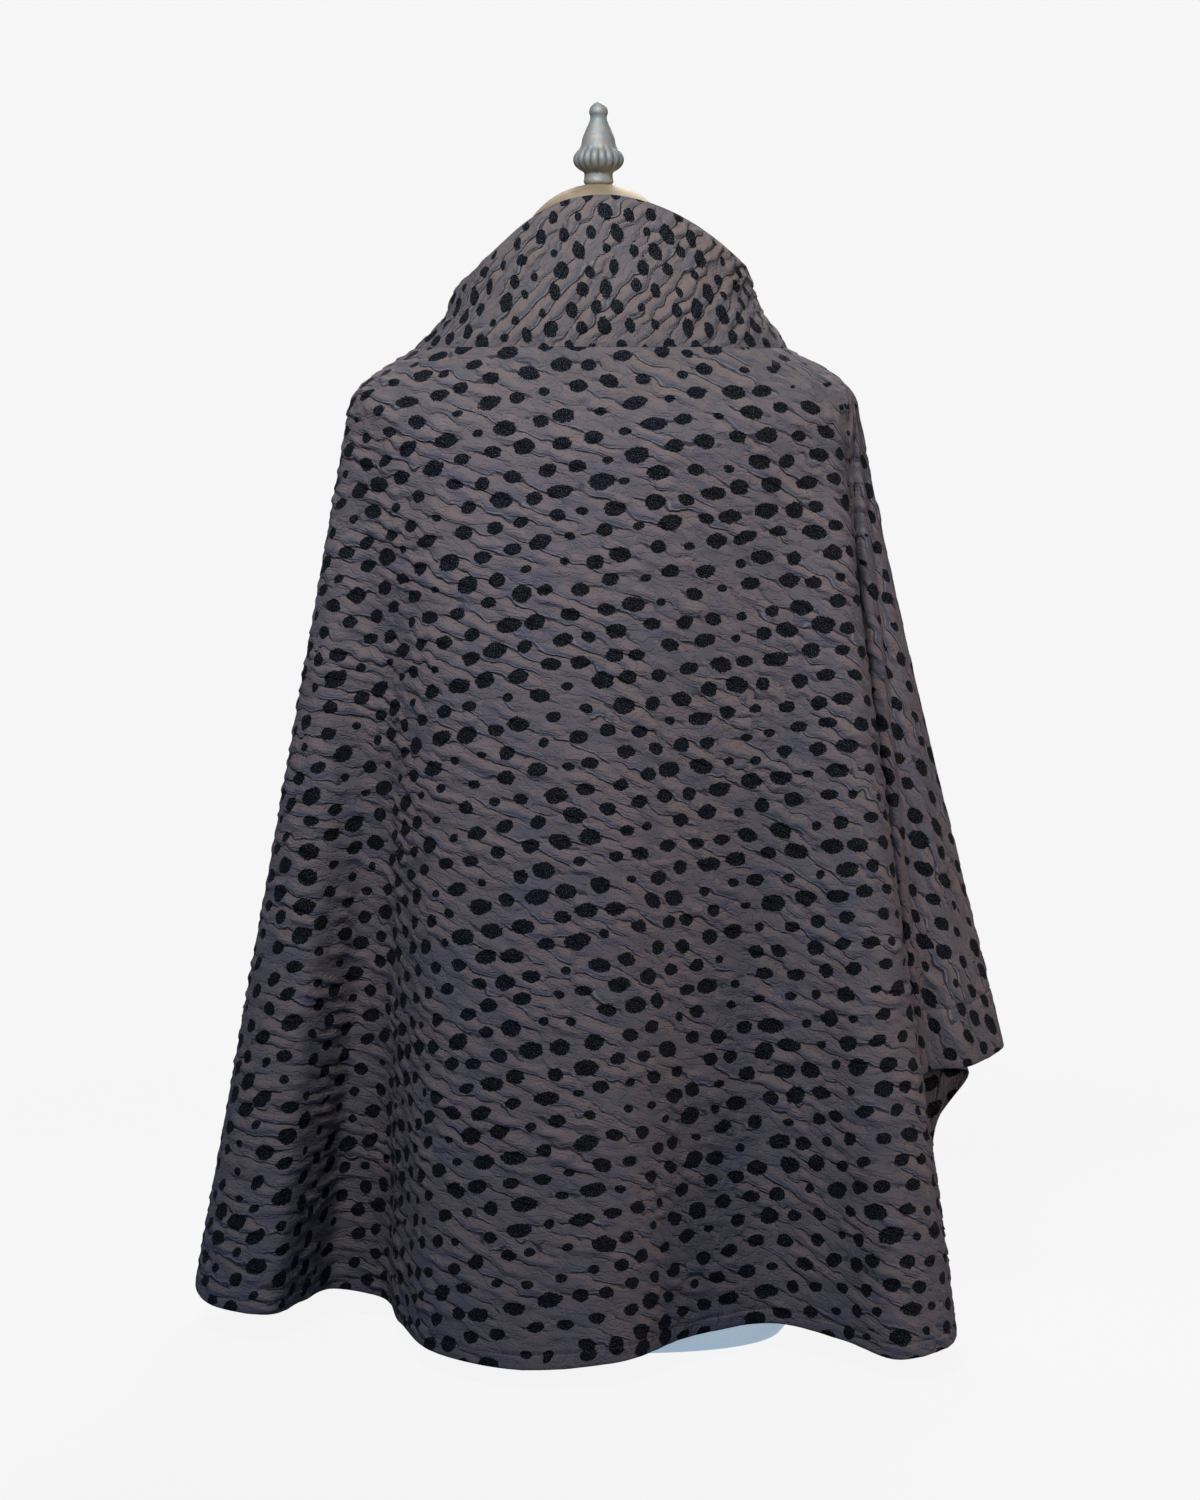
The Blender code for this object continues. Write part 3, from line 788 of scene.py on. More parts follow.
def inner_face(cloth):
    """The smooth inner face at fewer samples, with the turned-up hem as a low step."""
    thin = np.s_[::2, ::INNER_ROWS]
    lengths = cloth.lengths[:len(cloth.columns)][thin]
    left = lengths[:, -1:] - lengths
    depth = settings("cloth").thickness * 0.5 * tapered(left, INNER_FOOT) * tapered(lengths, INNER_TOP)
    if not cloth.closed:
        hems = cloth.hems[:len(cloth.columns)][::2, None]
        step = settings("seams").hem_step * ease(hems + 0.0015 - left, 0.0, 0.003)
        depth = depth + step * ease(left, 0.0, 0.003)
    return cloth.columns[thin] - cloth.out[thin] * depth[..., None]


def kept_apart(cloth, points, stride):
    """Points of the short side seam, kept on their own side of its plane."""
    if cloth.closed:
        return points
    sewn = sorted(fold_column(cloth, name) // stride for name in SEWN_SIDE)
    side = -1 if cloth.name == "front" else 1
    plane = SIDE_SEAM_DEPTH * MM
    reach = SEAM_GAP / 2 + (SEAM_WALL if stride == 1 else 0)
    part = points[sewn[0]:sewn[-1] + 1]
    part[..., 1] = plane + side * np.maximum(side * (part[..., 1] - plane), reach)
    return points


def shell_faces(columns, rows, closed):
    """Corners of every face as column, row and layer. The inner layer has fewer samples."""
    steps = columns if closed else columns - 1
    groups = []
    for layer, on, down in ((0, 1, 1), (1, 2, INNER_ROWS)):
        column, row = np.meshgrid(np.arange(0, steps, on), np.arange(0, rows - 1, down), indexing="ij")
        corners = [(column, row), (column, row + down), (column + on, row + down), (column + on, row)]
        if layer:
            corners.reverse()
        groups.append(face_group([(a.ravel(), b.ravel(), layer) for a, b in corners]))
    column, row = np.arange(0, steps, 2), np.arange(0, rows - 1, INNER_ROWS)
    for fixed, order in ((0, (0, 1, 2)), (rows - 1, (2, 1, 0))):
        outer = [(column + offset, fixed, 0) for offset in order]
        inner = [(column + offset, fixed, 1) for offset in (order[-1], order[0])]
        groups.append(face_group(outer + inner))
    if not closed:
        up = tuple(range(INNER_ROWS + 1))
        for fixed, order in ((0, up[::-1]), (steps, up)):
            outer = [(fixed, row + offset, 0) for offset in order]
            inner = [(fixed, row + offset, 1) for offset in (order[-1], order[0])]
            groups.append(face_group(outer + inner))
    return groups


def face_group(corners):
    """One array of faces from the column, row and layer of each corner."""
    return np.stack([np.stack(np.broadcast_arrays(*corner), axis=-1) for corner in corners], axis=1)


def cloth_shell(cloth, name, seed, material):
    """A closed shell of crinkled cloth, with its flat map, its creases and its dots as attributes."""
    dots = scattered_dots(cloth, seed + 10)
    marks, outer = outer_face(cloth, *crinkles(cloth, seed), dots)
    outer, inner = kept_apart(cloth, outer, 1), kept_apart(cloth, inner_face(cloth), 2)
    count, rows = outer.shape[:2]
    faces, flats, seen = [], [], []
    for group in shell_faces(count, rows, cloth.closed):
        column, row, layer = group[..., 0], group[..., 1], group[..., 2]
        around = column % count
        inside = count * rows + around // 2 * inner.shape[1] + row // INNER_ROWS
        faces += np.where(layer == 0, around * rows + row, inside).tolist()
        flat = cloth.flat[column, row]
        picks = [np.repeat(pick, flat.shape[1]) for pick in nearest_dot(flat.mean(axis=1), dots)]
        flat = flat.reshape(-1, 2)
        tone = (picks[0] * TONE_STEPS[0] + picks[1] * TONE_STEPS[1]) % TONES / TONES
        flats.append(flat)
        seen.append(np.concatenate([dot_space(flat, dots, *picks), tone[:, None]], axis=1))
    mesh = bpy.data.meshes.new(name)
    mesh.from_pydata(np.concatenate([outer.reshape(-1, 3), inner.reshape(-1, 3)]).tolist(), [], faces)
    flat_map = mesh.uv_layers.new(name="flat_cloth")
    flat_map.data.foreach_set("uv", np.concatenate(flats).astype(np.float32).ravel())
    add_marks(mesh, "dot", "CORNER", np.concatenate(seen))
    inner_marks = marks[::2, ::INNER_ROWS] * np.array([1, 1, 0.4])
    add_marks(mesh, "crease", "POINT", np.concatenate([marks.reshape(-1, 3), inner_marks.reshape(-1, 3)]))
    mesh.materials.append(material)
    mesh.shade_smooth()
    mesh.set_sharp_from_angle(angle=math.radians(80))
    return add_object(name, mesh), outer


def add_marks(mesh, name, domain, values):
    marks = mesh.attributes.new(name, "FLOAT_VECTOR", domain)
    marks.data.foreach_set("vector", values.astype(np.float32).ravel())


def add_object(name, mesh):
    thing = bpy.data.objects.new(name, mesh)
    bpy.context.scene.collection.objects.link(thing)
    return thing


def flat_size(cloth):
    """The cut's bounding width and length, and its area, from the flat points."""
    sizes = []
    for turn in np.radians(np.arange(0, 90, 2)):
        axes = np.array([[math.cos(turn), -math.sin(turn)], [math.sin(turn), math.cos(turn)]])
        turned = cloth.flat @ axes
        sizes.append(turned.max(axis=(0, 1)) - turned.min(axis=(0, 1)))
    size = min(sizes, key=np.prod)
    a, b = cloth.flat[:-1, :-1], cloth.flat[1:, :-1]
    c, d = cloth.flat[1:, 1:], cloth.flat[:-1, 1:]
    area = np.abs(cross2(c - a, d - b)).sum() / 2
    return size.tolist(), float(area)


def cross2(first, second):
    return first[..., 0] * second[..., 1] - first[..., 1] * second[..., 0]


def section_points(section, sides):
    """The points of a torso section, counterclockwise from above."""
    angle = 2 * np.pi * np.arange(sides) / sides
    sine, cosine = rounded(angle, section.power)
    depth = np.where(cosine > 0, section.back, section.front)
    return place(sine * section.half_width, cosine * depth, section.height)


def loft(name, rings, material, sharp=50):
    """A closed solid through rings of equal count, with flat ends."""
    rings = np.asarray(rings)
    levels, count = rings.shape[:2]
    level, side = np.meshgrid(np.arange(levels - 1), np.arange(count), indexing="ij")
    low = (level * count + side).ravel()
    following = (level * count + (side + 1) % count).ravel()
    faces = np.stack([low, following, following + count, low + count], axis=1).tolist()
    faces.append(list(reversed(range(count))))
    faces.append(list(range((levels - 1) * count, levels * count)))
    mesh = bpy.data.meshes.new(name)
    mesh.from_pydata(rings.reshape(-1, 3).tolist(), [], faces)
    mesh.materials.append(material)
    mesh.shade_smooth()
    mesh.set_sharp_from_angle(angle=math.radians(sharp))
    return add_object(name, mesh)


def turned_rings(profile, sides, wobble=None):
    """Rings of a turned solid, from radii and heights that run up it."""
    angle = 2 * np.pi * np.arange(sides) / sides
    rings = []
    for number, (radius, height) in enumerate(profile):
        radii = np.full(sides, radius)
        if wobble is not None:
            radii = radii - wobble[number]
        level = np.full(sides, height)
        rings.append(np.stack([-np.sin(angle) * radii, np.cos(angle) * radii, level], axis=1))
    return rings


def smooth_run(knots, steps):
    """Points, or rings of points, along a smooth curve through the knots."""
    knots = [np.asarray(knot, float) for knot in knots]
    return [curve_point(knots, step / steps) for step in range((len(knots) - 1) * steps + 1)]


def cap_drop(radius):
    return CAP_CURVE - math.sqrt(CAP_CURVE ** 2 - radius ** 2)


def cap_height():
    return CAP_RIM + cap_drop(CAP_RADIUS) - cap_drop(CAP_FLAT)


class Value:
    """A shader socket that takes part in Python arithmetic."""

    def __init__(self, shade, socket):
        self.shade = shade
        self.socket = socket

    def math(self, operation, *others):
        sockets = dict(enumerate((self, *others)))
        return self.shade.add("ShaderNodeMath", {"operation": operation}, sockets)

    def __add__(self, other):
        return self.math("ADD", other)

    def __radd__(self, other):
        return self.math("ADD", other)

    def __sub__(self, other):
        return self.math("SUBTRACT", other)

    def __rsub__(self, other):
        return self.shade.add("ShaderNodeMath", {"operation": "SUBTRACT"}, {0: other, 1: self})

    def __mul__(self, other):
        return self.math("MULTIPLY", other)

    def __truediv__(self, other):
        return self.math("DIVIDE", other)

    def __pow__(self, other):
        return self.math("POWER", other)


class Shade:
    """The node tree of a material or a world, with one way of adding a node to it."""

    def __init__(self, owner):
        self.owner = owner
        owner.use_nodes = True
        self.tree = owner.node_tree
        self.tree.nodes.clear()

    def add(self, kind, details=None, sockets=None, out=0):
        """A new node with its details and sockets set, as one of its outputs."""
        node = self.tree.nodes.new(kind)
        for name, value in (details or {}).items():
            setattr(node, name, value)
        for key, value in (sockets or {}).items():
            socket = node.inputs[key]
            if isinstance(value, Value):
                self.tree.links.new(value.socket, socket)
            else:
                socket.default_value = value
        return Value(self, node.outputs[out])

    def parts(self, vector):
        """The three parts of a vector as values."""
        node = self.add("ShaderNodeSeparateXYZ", None, {0: vector}).socket.node
        return [Value(self, socket) for socket in node.outputs]

    def flat_map(self):
        return self.add("ShaderNodeUVMap", {"uv_map": "flat_cloth"})

    def attribute(self, name, out):
        return self.add("ShaderNodeAttribute", {"attribute_name": name}, None, out)

    def object_place(self):
        return self.add("ShaderNodeTexCoord", None, None, "Object")

    def scaled(self, vector, scale):
        return self.add("ShaderNodeMapping", None, {"Vector": vector, "Scale": scale})

    def noise(self, vector, scale, detail=2.0, roughness=0.5, dimensions="3D"):
        sockets = {"Vector": vector, "Scale": scale, "Detail": detail, "Roughness": roughness}
        return self.add("ShaderNodeTexNoise", {"noise_dimensions": dimensions}, sockets, "Fac")

    def step(self, value, low, high):
        """0 at low and 1 at high, smooth in between."""
        return self.add("ShaderNodeMapRange", {"interpolation_type": "SMOOTHSTEP"},
                        {"Value": value, "From Min": low, "From Max": high, "To Min": 0.0, "To Max": 1.0})

    def mix(self, share, first, second, blend="MIX"):
        """Two colours mixed. A colour is a link or three numbers."""
        first, second = [pick if isinstance(pick, Value) else (*pick, 1.0) for pick in (first, second)]
        return self.add("ShaderNodeMix", {"data_type": "RGBA", "blend_type": blend},
                        {"Factor": share, 6: first, 7: second}, 2)

    def bump(self, height, distance):
        return self.add("ShaderNodeBump", None, {"Height": height, "Distance": distance, "Strength": 1.0})

    def finish(self, sockets):
        """The surface shader and the output of a material."""
        return self.end(self.add("ShaderNodeBsdfPrincipled", None, sockets))

    def end(self, surface, kind="ShaderNodeOutputMaterial"):
        """The output node. Returns the material or the world."""
        node = self.tree.nodes.new(kind)
        self.tree.links.new(surface.socket, node.inputs["Surface"])
        return self.owner


def new_shade(name):
    return Shade(bpy.data.materials.new(name))


def crinkled_cloth(name="crinkled_cloth", lay=WRINKLE_LAY):
    """Taupe double cloth with a fine weave, dark woven dots and thin creases. Painted shade darkens each
    crease and cools the lower side of each ridge, and a painted highlight lies along each crease's lip.
    Its finest wrinkles lie at one angle on the flat cloth."""
    own = settings("colours")
    shade = new_shade(name)
    flat = shade.flat_map()
    first, second, calm = shade.parts(shade.attribute("crease", "Vector"))
    dot_x, dot_y, tone = shade.parts(shade.attribute("dot", "Vector"))

    ragged = shade.noise(flat, 560.0, 2.0, 0.6, "2D")
    lopsided = shade.noise(flat, 150.0, 1.0, 0.5, "2D")
    reach = dot_x.math("ABSOLUTE") ** 1.6 + dot_y.math("ABSOLUTE") ** 2.2
    reach = reach + (ragged - 0.5) * 0.7 + (lopsided - 0.5) * 0.7
    dot = shade.step(reach, 1.06, 0.95)

    grain = shade.noise(flat, 900.0, 3.0, 0.65, "2D")
    mottle = shade.noise(flat, 16.0, 3.0, 0.55, "2D")
    cloud = shade.noise(flat, 55.0, 4.0, 0.6, "2D")
    wander = (shade.noise(flat, 240.0, 2.0, 0.6, "2D") - 0.5) * 0.5
    strength = shade.step(first * first + second * second, 0.03, 1.0) * calm
    share = ((second + wander).math("ARCTAN2", first) / (2 * math.pi)).math("FRACT")
    drop = shade.step(share, 0.90, 1.0)
    # Painted shade: valley marks the bottom of each crease, where shade falls, and the dark crease colour
    # is painted there
    valley = shade.step((share - 0.97).math("ABSOLUTE"), 0.066, 0.0) * strength
    valley = valley * shade.step(cloud, 0.28, 0.52)

    # Painted light and shade: besides the random tone from mottle and cloud, the upper side of each ridge
    # is painted warm as if lit and its lower side cool as if shaded
    warmth_and_ridge_shade = (mottle - 0.5) * 0.7 + (cloud - 0.5) * 0.8 + (0.55 - share) * strength * 2.2
    ground = shade.mix(shade.step(warmth_and_ridge_shade, -0.45, 0.45), own.cool, own.warm)
    ground = shade.mix(shade.step(grain, 0.30, 0.72), shade.mix(0.22, ground, (0.0, 0.0, 0.0)), ground)
    # Painted highlight: crest marks the lip beside each crease, where a paler colour is painted as if
    # light caught it
    crest = shade.step((share - 0.87).math("ABSOLUTE"), 0.055, 0.0) * strength
    ground = shade.mix(crest * 0.46, ground, own.crest)
    ground = shade.mix(valley * 0.80, ground, own.crease)
    # Painted shade: the top of the cloth is painted a little darker and browner than the rest, to stand in
    # for the light that falls there
    _, _, up = shade.parts(shade.object_place())
    painted_top_shade = shade.mix(1.0, ground, (0.90, 0.90, 0.82), "MULTIPLY")
    ground = shade.mix(shade.step(up, 0.66, 0.76), ground, painted_top_shade)

    specks = shade.step(shade.noise(flat, 1150.0, 1.0, 0.5, "2D"), 0.60, 0.67)
    dark = shade.mix(tone, own.dot, own.blue_dot)
    dark = shade.mix(specks * 0.55, dark, own.speck)
    colour = shade.mix(dot, ground, dark)

    flat_x, flat_y, _ = shade.parts(flat)
    weave = (flat_x * 5200.0).math("SINE") * (flat_y * 5200.0).math("SINE")
    fuzz = shade.noise(flat, 2400.0, 2.0, 0.6, "2D")
    small = shade.noise(flat, 210.0, 3.0, 0.62, "2D")
    combed_flat = shade.add("ShaderNodeMapping", {"vector_type": "TEXTURE"}, {
        "Vector": flat, "Rotation": (0.0, 0.0, math.radians(lay)), "Scale": (2.4, 1.0, 1.0)})
    wrinkle = shade.noise(combed_flat, 150.0, 2.0, 0.5, "2D")
    wrinkle = shade.step((wrinkle - 0.5).math("ABSOLUTE"), 0.0, 0.055)
    height = (weave * 0.03 + fuzz * 0.08 + small * 0.40 + wrinkle * 0.34 + (share - drop) * strength * 0.9
              - dot * 0.12)
    normal = shade.bump(height, 0.0011)
    return shade.finish({"Base Color": colour, "Roughness": 0.92 - dot * 0.14, "Normal": normal,
                         "Specular IOR Level": 0.07, "Sheen Weight": 0.02, "Sheen Roughness": 0.5,
                         "Sheen Tint": (0.62, 0.58, 0.62, 1.0)})


def pale_jersey():
    """Pale blue-white jersey with a fine knit. Its foot glows as if a pale floor lit it."""
    shade = new_shade("pale_jersey")
    where = shade.object_place()
    cloud = shade.noise(where, 9.0, 3.0, 0.5)
    fine = shade.noise(where, 420.0, 2.0, 0.6)
    colour = shade.mix(shade.step(cloud, 0.35, 0.65), (0.74, 0.82, 0.87), (0.84, 0.89, 0.92))
    colour = shade.mix(shade.step(fine, 0.35, 0.7) * 0.12, colour, (0.45, 0.53, 0.60))
    x, y, z = shade.parts(where)
    knit = (z * 4200.0).math("SINE") * (x * 3900.0 + y * 3900.0).math("SINE")
    normal = shade.bump(knit * 0.3 + fine * 0.5, 0.0004)
    lit = shade.mix(shade.step(z, 0.09, 0.02), (0.0, 0.0, 0.0), (0.29, 0.37, 0.44))
    return shade.finish({"Base Color": colour, "Roughness": 0.88, "Specular IOR Level": 0.25,
                         "Normal": normal, "Emission Color": lit, "Emission Strength": 1.0})


def aged_brass():
    """Brushed brass that has dulled unevenly."""
    shade = new_shade("aged_brass")
    where = shade.object_place()
    stain = shade.noise(where, 38.0, 5.0, 0.62)
    fine = shade.noise(where, 320.0, 2.0, 0.6)
    colour = shade.mix(shade.step(stain, 0.38, 0.66), (0.33, 0.275, 0.19), (0.245, 0.20, 0.135))
    colour = shade.mix(shade.step(fine, 0.5, 0.75) * 0.35, colour, (0.24, 0.18, 0.11))
    rings = shade.noise(shade.scaled(where, (0.15, 0.15, 1.0)), 900.0, 2.0, 0.5)
    normal = shade.bump(rings * 0.6 + fine * 0.4, 0.0002)
    return shade.finish({"Base Color": colour, "Metallic": 0.30, "Roughness": 0.74 + stain * 0.10,
                         "Normal": normal})


def pewter():
    """Blue-grey cast metal, darker in its hollows and rubbed bright on its ribs."""
    shade = new_shade("pewter")
    where = shade.object_place()
    stain = shade.noise(where, 90.0, 4.0, 0.6)
    fine = shade.noise(where, 700.0, 2.0, 0.6)
    hollow = shade.attribute("hollow", "Fac")
    colour = shade.mix(shade.step(stain, 0.36, 0.66), (0.22, 0.27, 0.29), (0.31, 0.30, 0.265))
    colour = shade.mix(hollow * 0.75, colour, (0.07, 0.085, 0.10))
    colour = shade.mix(shade.step(fine, 0.55, 0.8) * 0.3, colour, (0.62, 0.66, 0.70))
    normal = shade.bump(stain * 0.5 + fine * 0.5, 0.00025)
    return shade.finish({"Base Color": colour, "Metallic": 0.52, "Roughness": 0.56 + fine * 0.2,
                         "Normal": normal})


def dark_thread():
    shade = new_shade("dark_thread")
    where = shade.object_place()
    twist = shade.noise(where, 2600.0, 2.0, 0.6)
    colour = shade.mix(twist, (0.030, 0.026, 0.030), (0.062, 0.054, 0.060))
    return shade.finish({"Base Color": colour, "Roughness": 0.8, "Normal": shade.bump(twist, 0.0002)})


def stage_paint():
    """A floor as pale as the backdrop, which only darkens softly where light is kept off it."""
    shade = new_shade("pale_stage")
    x, y, _ = shade.parts(shade.object_place())
    near = shade.step((x * x + y * y).math("SQRT"), 1.5, 0.35)
    seen = shade.add("ShaderNodeLightPath", None, None, "Is Camera Ray")
    dim = shade.mix(near, (0, 0, 0), (0.05, 0.05, 0.052))
    lit = shade.add("ShaderNodeBsdfDiffuse", None, {"Color": dim})
    glow = settings("stage").backdrop - near * 0.03
    white = shade.add("ShaderNodeEmission", None, {"Color": (1, 1, 1, 1), "Strength": glow})
    both = shade.add("ShaderNodeAddShader", None, {0: lit, 1: white})
    pale = shade.mix(near, (0.14, 0.14, 0.15), (0.16, 0.20, 0.27))
    bounce = shade.add("ShaderNodeBsdfDiffuse", None, {"Color": pale})
    return shade.end(shade.add("ShaderNodeMixShader", None, {0: seen, 1: bounce, 2: both}))


def stitch_tree():
    """Geometry Nodes that lay one small rounded stitch at every pitch along a line."""
    tree = bpy.data.node_groups.new("stitches_along_a_line", "GeometryNodeTree")
    face = tree.interface
    face.new_socket("Geometry", in_out="INPUT", socket_type="NodeSocketGeometry")
    face.new_socket("Geometry", in_out="OUTPUT", socket_type="NodeSocketGeometry")
    for name, value in (("Pitch", 0.004), ("Length", 0.0029), ("Thickness", STITCH_THICKNESS)):
        socket = face.new_socket(name, in_out="INPUT", socket_type="NodeSocketFloat")
        socket.default_value = value
    face.new_socket("Thread", in_out="INPUT", socket_type="NodeSocketMaterial")
    nodes = {name: tree.nodes.new(kind) for name, kind in (
        ("inputs", "NodeGroupInput"), ("line", "GeometryNodeMeshToCurve"),
        ("spread", "GeometryNodeResampleCurve"), ("stitch", "GeometryNodeMeshUVSphere"),
        ("size", "ShaderNodeCombineXYZ"), ("along", "GeometryNodeInputTangent"),
        ("turn", "FunctionNodeAlignRotationToVector"), ("placed", "GeometryNodeInstanceOnPoints"),
        ("real", "GeometryNodeRealizeInstances"), ("paint", "GeometryNodeSetMaterial"),
        ("output", "NodeGroupOutput"))}
    nodes["spread"].mode = "LENGTH"
    nodes["turn"].axis = "X"
    for name, value in (("Segments", 6), ("Rings", 4), ("Radius", 0.5)):
        nodes["stitch"].inputs[name].default_value = value
    for start, out, end, into in (
            ("inputs", "Geometry", "line", "Mesh"), ("line", "Curve", "spread", "Curve"),
            ("inputs", "Pitch", "spread", "Length"), ("spread", "Curve", "placed", "Points"),
            ("stitch", "Mesh", "placed", "Instance"), ("along", "Tangent", "turn", "Vector"),
            ("turn", "Rotation", "placed", "Rotation"), ("inputs", "Length", "size", "X"),
            ("inputs", "Thickness", "size", "Y"), ("inputs", "Thickness", "size", "Z"),
            ("size", "Vector", "placed", "Scale"), ("placed", "Instances", "real", "Geometry"),
            ("real", "Geometry", "paint", "Geometry"), ("inputs", "Thread", "paint", "Material"),
            ("paint", "Geometry", "output", "Geometry")):
        tree.links.new(nodes[start].outputs[out], nodes[end].inputs[into])
    return tree


def stitches(name, points, material):
    """Stitches along a line of points, as a plain mesh."""
    own = settings("seams")
    path = bpy.data.meshes.new(name + "_path")
    edges = [(index, index + 1) for index in range(len(points) - 1)]
    path.from_pydata(points.tolist(), edges, [])
    carrier = add_object(name + "_path", path)
    tree = bpy.data.node_groups.get("stitches_along_a_line") or stitch_tree()
    layer = carrier.modifiers.new("Stitches", "NODES")
    layer.node_group = tree
    wanted = {"Pitch": own.stitch_pitch, "Length": own.stitch_pitch * STITCH_SHARE, "Thread": material}
    for item in tree.interface.items_tree:
        if item.item_type == "SOCKET" and item.in_out == "INPUT" and item.name in wanted:
            layer[item.identifier] = wanted[item.name]
    graph = bpy.context.evaluated_depsgraph_get()
    mesh = bpy.data.meshes.new_from_object(carrier.evaluated_get(graph))
    mesh.name = name
    bpy.data.objects.remove(carrier)
    bpy.data.meshes.remove(path)
    mesh.shade_smooth()
    return add_object(name, mesh)


def material_named(name, maker):
    """A material of the scene, made when it is first asked for. None has the name of a CAD slot."""
    return bpy.data.materials.get(name) or maker()


def length(name, description, default, low, high):
    return bpy.props.FloatProperty(name=name, description=description, default=default, min=low, max=high,
                                   unit="LENGTH", precision=4)


def amount(name, description, default, high):
    return bpy.props.FloatProperty(name=name, description=description, default=default, min=0.0, max=high)


def colour(name, description, default):
    return bpy.props.FloatVectorProperty(name=name, description=description, default=default,
                                         subtype="COLOR", min=0.0, max=1.0)


class ClothSettings(bpy.types.PropertyGroup):
    """The cloth between its creases"""

    thickness: length("Thickness", "Thickness of the double cloth", 0.0018, 0.0005, 0.004)
    dot_pitch: length("Dot pitch", "Distance from one dot to the next along a row", 0.0232, 0.01, 0.1)


class CreaseSettings(bpy.types.PropertyGroup):
    """The crinkles of the cloth"""

    height: length("Height", "How far the ridges stand out between two creases", 0.0016, 0.0, 0.004)
    overhang: amount("Overhang", "How far a ridge leans over its crease, by its height", 0.55, 2.0)
    spacing: length("Spacing", "Distance from one crease to the next", 0.0095, 0.004, 0.03)
    length: length("Length", "How far a crease runs before it fades", 0.062, 0.01, 0.2)
    bend_spacing: length("Bend spacing", "Distance from one bend to the next", 0.018, 0.005, 0.1)
    bend_depth: length("Bend depth", "How far a crease wanders off its line", 0.0013, 0.0, 0.006)


class SeamSettings(bpy.types.PropertyGroup):
    """The hems and their stitches"""

    body_hem: length("Body hem", "Depth of the hem turned up at the lower edge", 0.011, 0.005, 0.06)
    sleeve_hem: length("Sleeve hem", "Depth of the hem turned up at the cuff", 0.046, 0.005, 0.08)
    hem_step: length("Hem step", "How much thicker the turned hem makes the inside", 0.0008, 0.0, 0.003)
    stitch_depth: length("Stitch depth", "How deep the stitches pull into the cloth", 0.0009, 0.0, 0.003)
    stitch_pitch: length("Stitch pitch", "Distance from one stitch to the next", 0.0038, 0.002, 0.01)


class ColourSettings(bpy.types.PropertyGroup):
    """The colours of the cloth"""

    # Painted light and shade: warm is also painted on the lit upper side of each ridge and cool on its
    # shaded lower side, besides the cloth's random tone
    warm: colour("Warm cloth", "The cloth's pinkish taupe", (0.190, 0.160, 0.171))
    cool: colour("Cool cloth", "The cloth's bluish grey", (0.105, 0.115, 0.162))
    # Painted highlight: the crest colour is light painted along the lip of each crease, not rubbed cloth
    crest: colour("Crest", "The rubbed, paler cloth along the lip of a crease", (0.34, 0.31, 0.32))
    # Painted shade: the crease colour is the shade painted into the bottom of each crease
    crease: colour("Crease", "The dark brown at the bottom of a crease", (0.040, 0.032, 0.036))
    dot: colour("Dot", "Green-black of the woven dots", (0.0024, 0.0042, 0.0052))
    blue_dot: colour("Blue dot", "Blue-black of the woven dots", (0.0026, 0.0042, 0.0100))
    speck: colour("Speck", "Pale threads that show through a dot", (0.085, 0.095, 0.115))


class StageSettings(bpy.types.PropertyGroup):
    """The backdrop and the lights"""

    backdrop: amount("Backdrop", "How bright the backdrop looks", 0.922, 1.0)
    key_power: amount("Key light", "Power of each light above the form, in watts", 11.3, 500.0)
    side_power: amount("Side light", "Power of the light beside the sleeve, in watts", 3.6, 500.0)
    fill: amount("Fill light", "Strength of the even bluish light", 0.22, 5.0)


GROUPS = {"cloth": ClothSettings, "creases": CreaseSettings, "seams": SeamSettings,
          "colours": ColourSettings, "stage": StageSettings}


def settings(group):
    return getattr(bpy.context.scene, "poncho_" + group)


def dress(piece, node):
    """Puts a finished piece on the frame in the place of a CAD node."""
    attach(piece, "root")
    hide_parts(node)


def make_panel(name, seed, node):
    """A panel with the stitches of its hem, both on the frame."""
    cloth = cloth_pieces()[name]
    paint = material_named("crinkled_cloth", crinkled_cloth)
    piece, outer = cloth_shell(cloth, name + "_cloth", seed, paint)
    line = outer[:, STITCH_ROW] + cloth.out[:, STITCH_ROW] * STITCH_LIFT
    seam = stitches(name + "_hem_stitches", line, material_named("dark_thread", dark_thread))
    dress(piece, node)
    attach(seam, "root")
    size, area = flat_size(cloth)


class PONCHO_OT_form(bpy.types.Operator):
    """Make the limbless dress form that the poncho is draped over"""

    bl_idname = "poncho.form"
    bl_label = "Dress form"

    def execute(self, context):
        rings = smooth_run([section_points(section, TORSO_SIDES) for section in TORSO], TORSO_STEPS)
        body = loft("dress_form", rings, material_named("pale_jersey", pale_jersey))
        dress(body, "form_torso")
        return {"FINISHED"}


class PONCHO_OT_neck_cap(bpy.types.Operator):
    """Make the domed metal cap on the form's neck"""

    bl_idname = "poncho.neck_cap"
    bl_label = "Neck cap"

    def execute(self, context):
        base = TORSO[-1].height * MM + CAP_LIFT
        profile = [(CAP_RADIUS - CAP_BEVEL, base), (CAP_RADIUS, base + CAP_BEVEL),
                   (CAP_RADIUS, base + CAP_RIM * 0.8)]
        for radius in np.linspace(CAP_RADIUS - CAP_SHOULDER, CAP_FLAT, CAP_STEPS + 1):
            profile.append((radius, base + CAP_RIM + cap_drop(CAP_RADIUS) - cap_drop(radius)))
        paint = material_named("aged_brass", aged_brass)
        cap = loft("domed_neck_cap", turned_rings(profile, CAP_SIDES), paint, 35)
        dress(cap, "neck_cap")
        return {"FINISHED"}


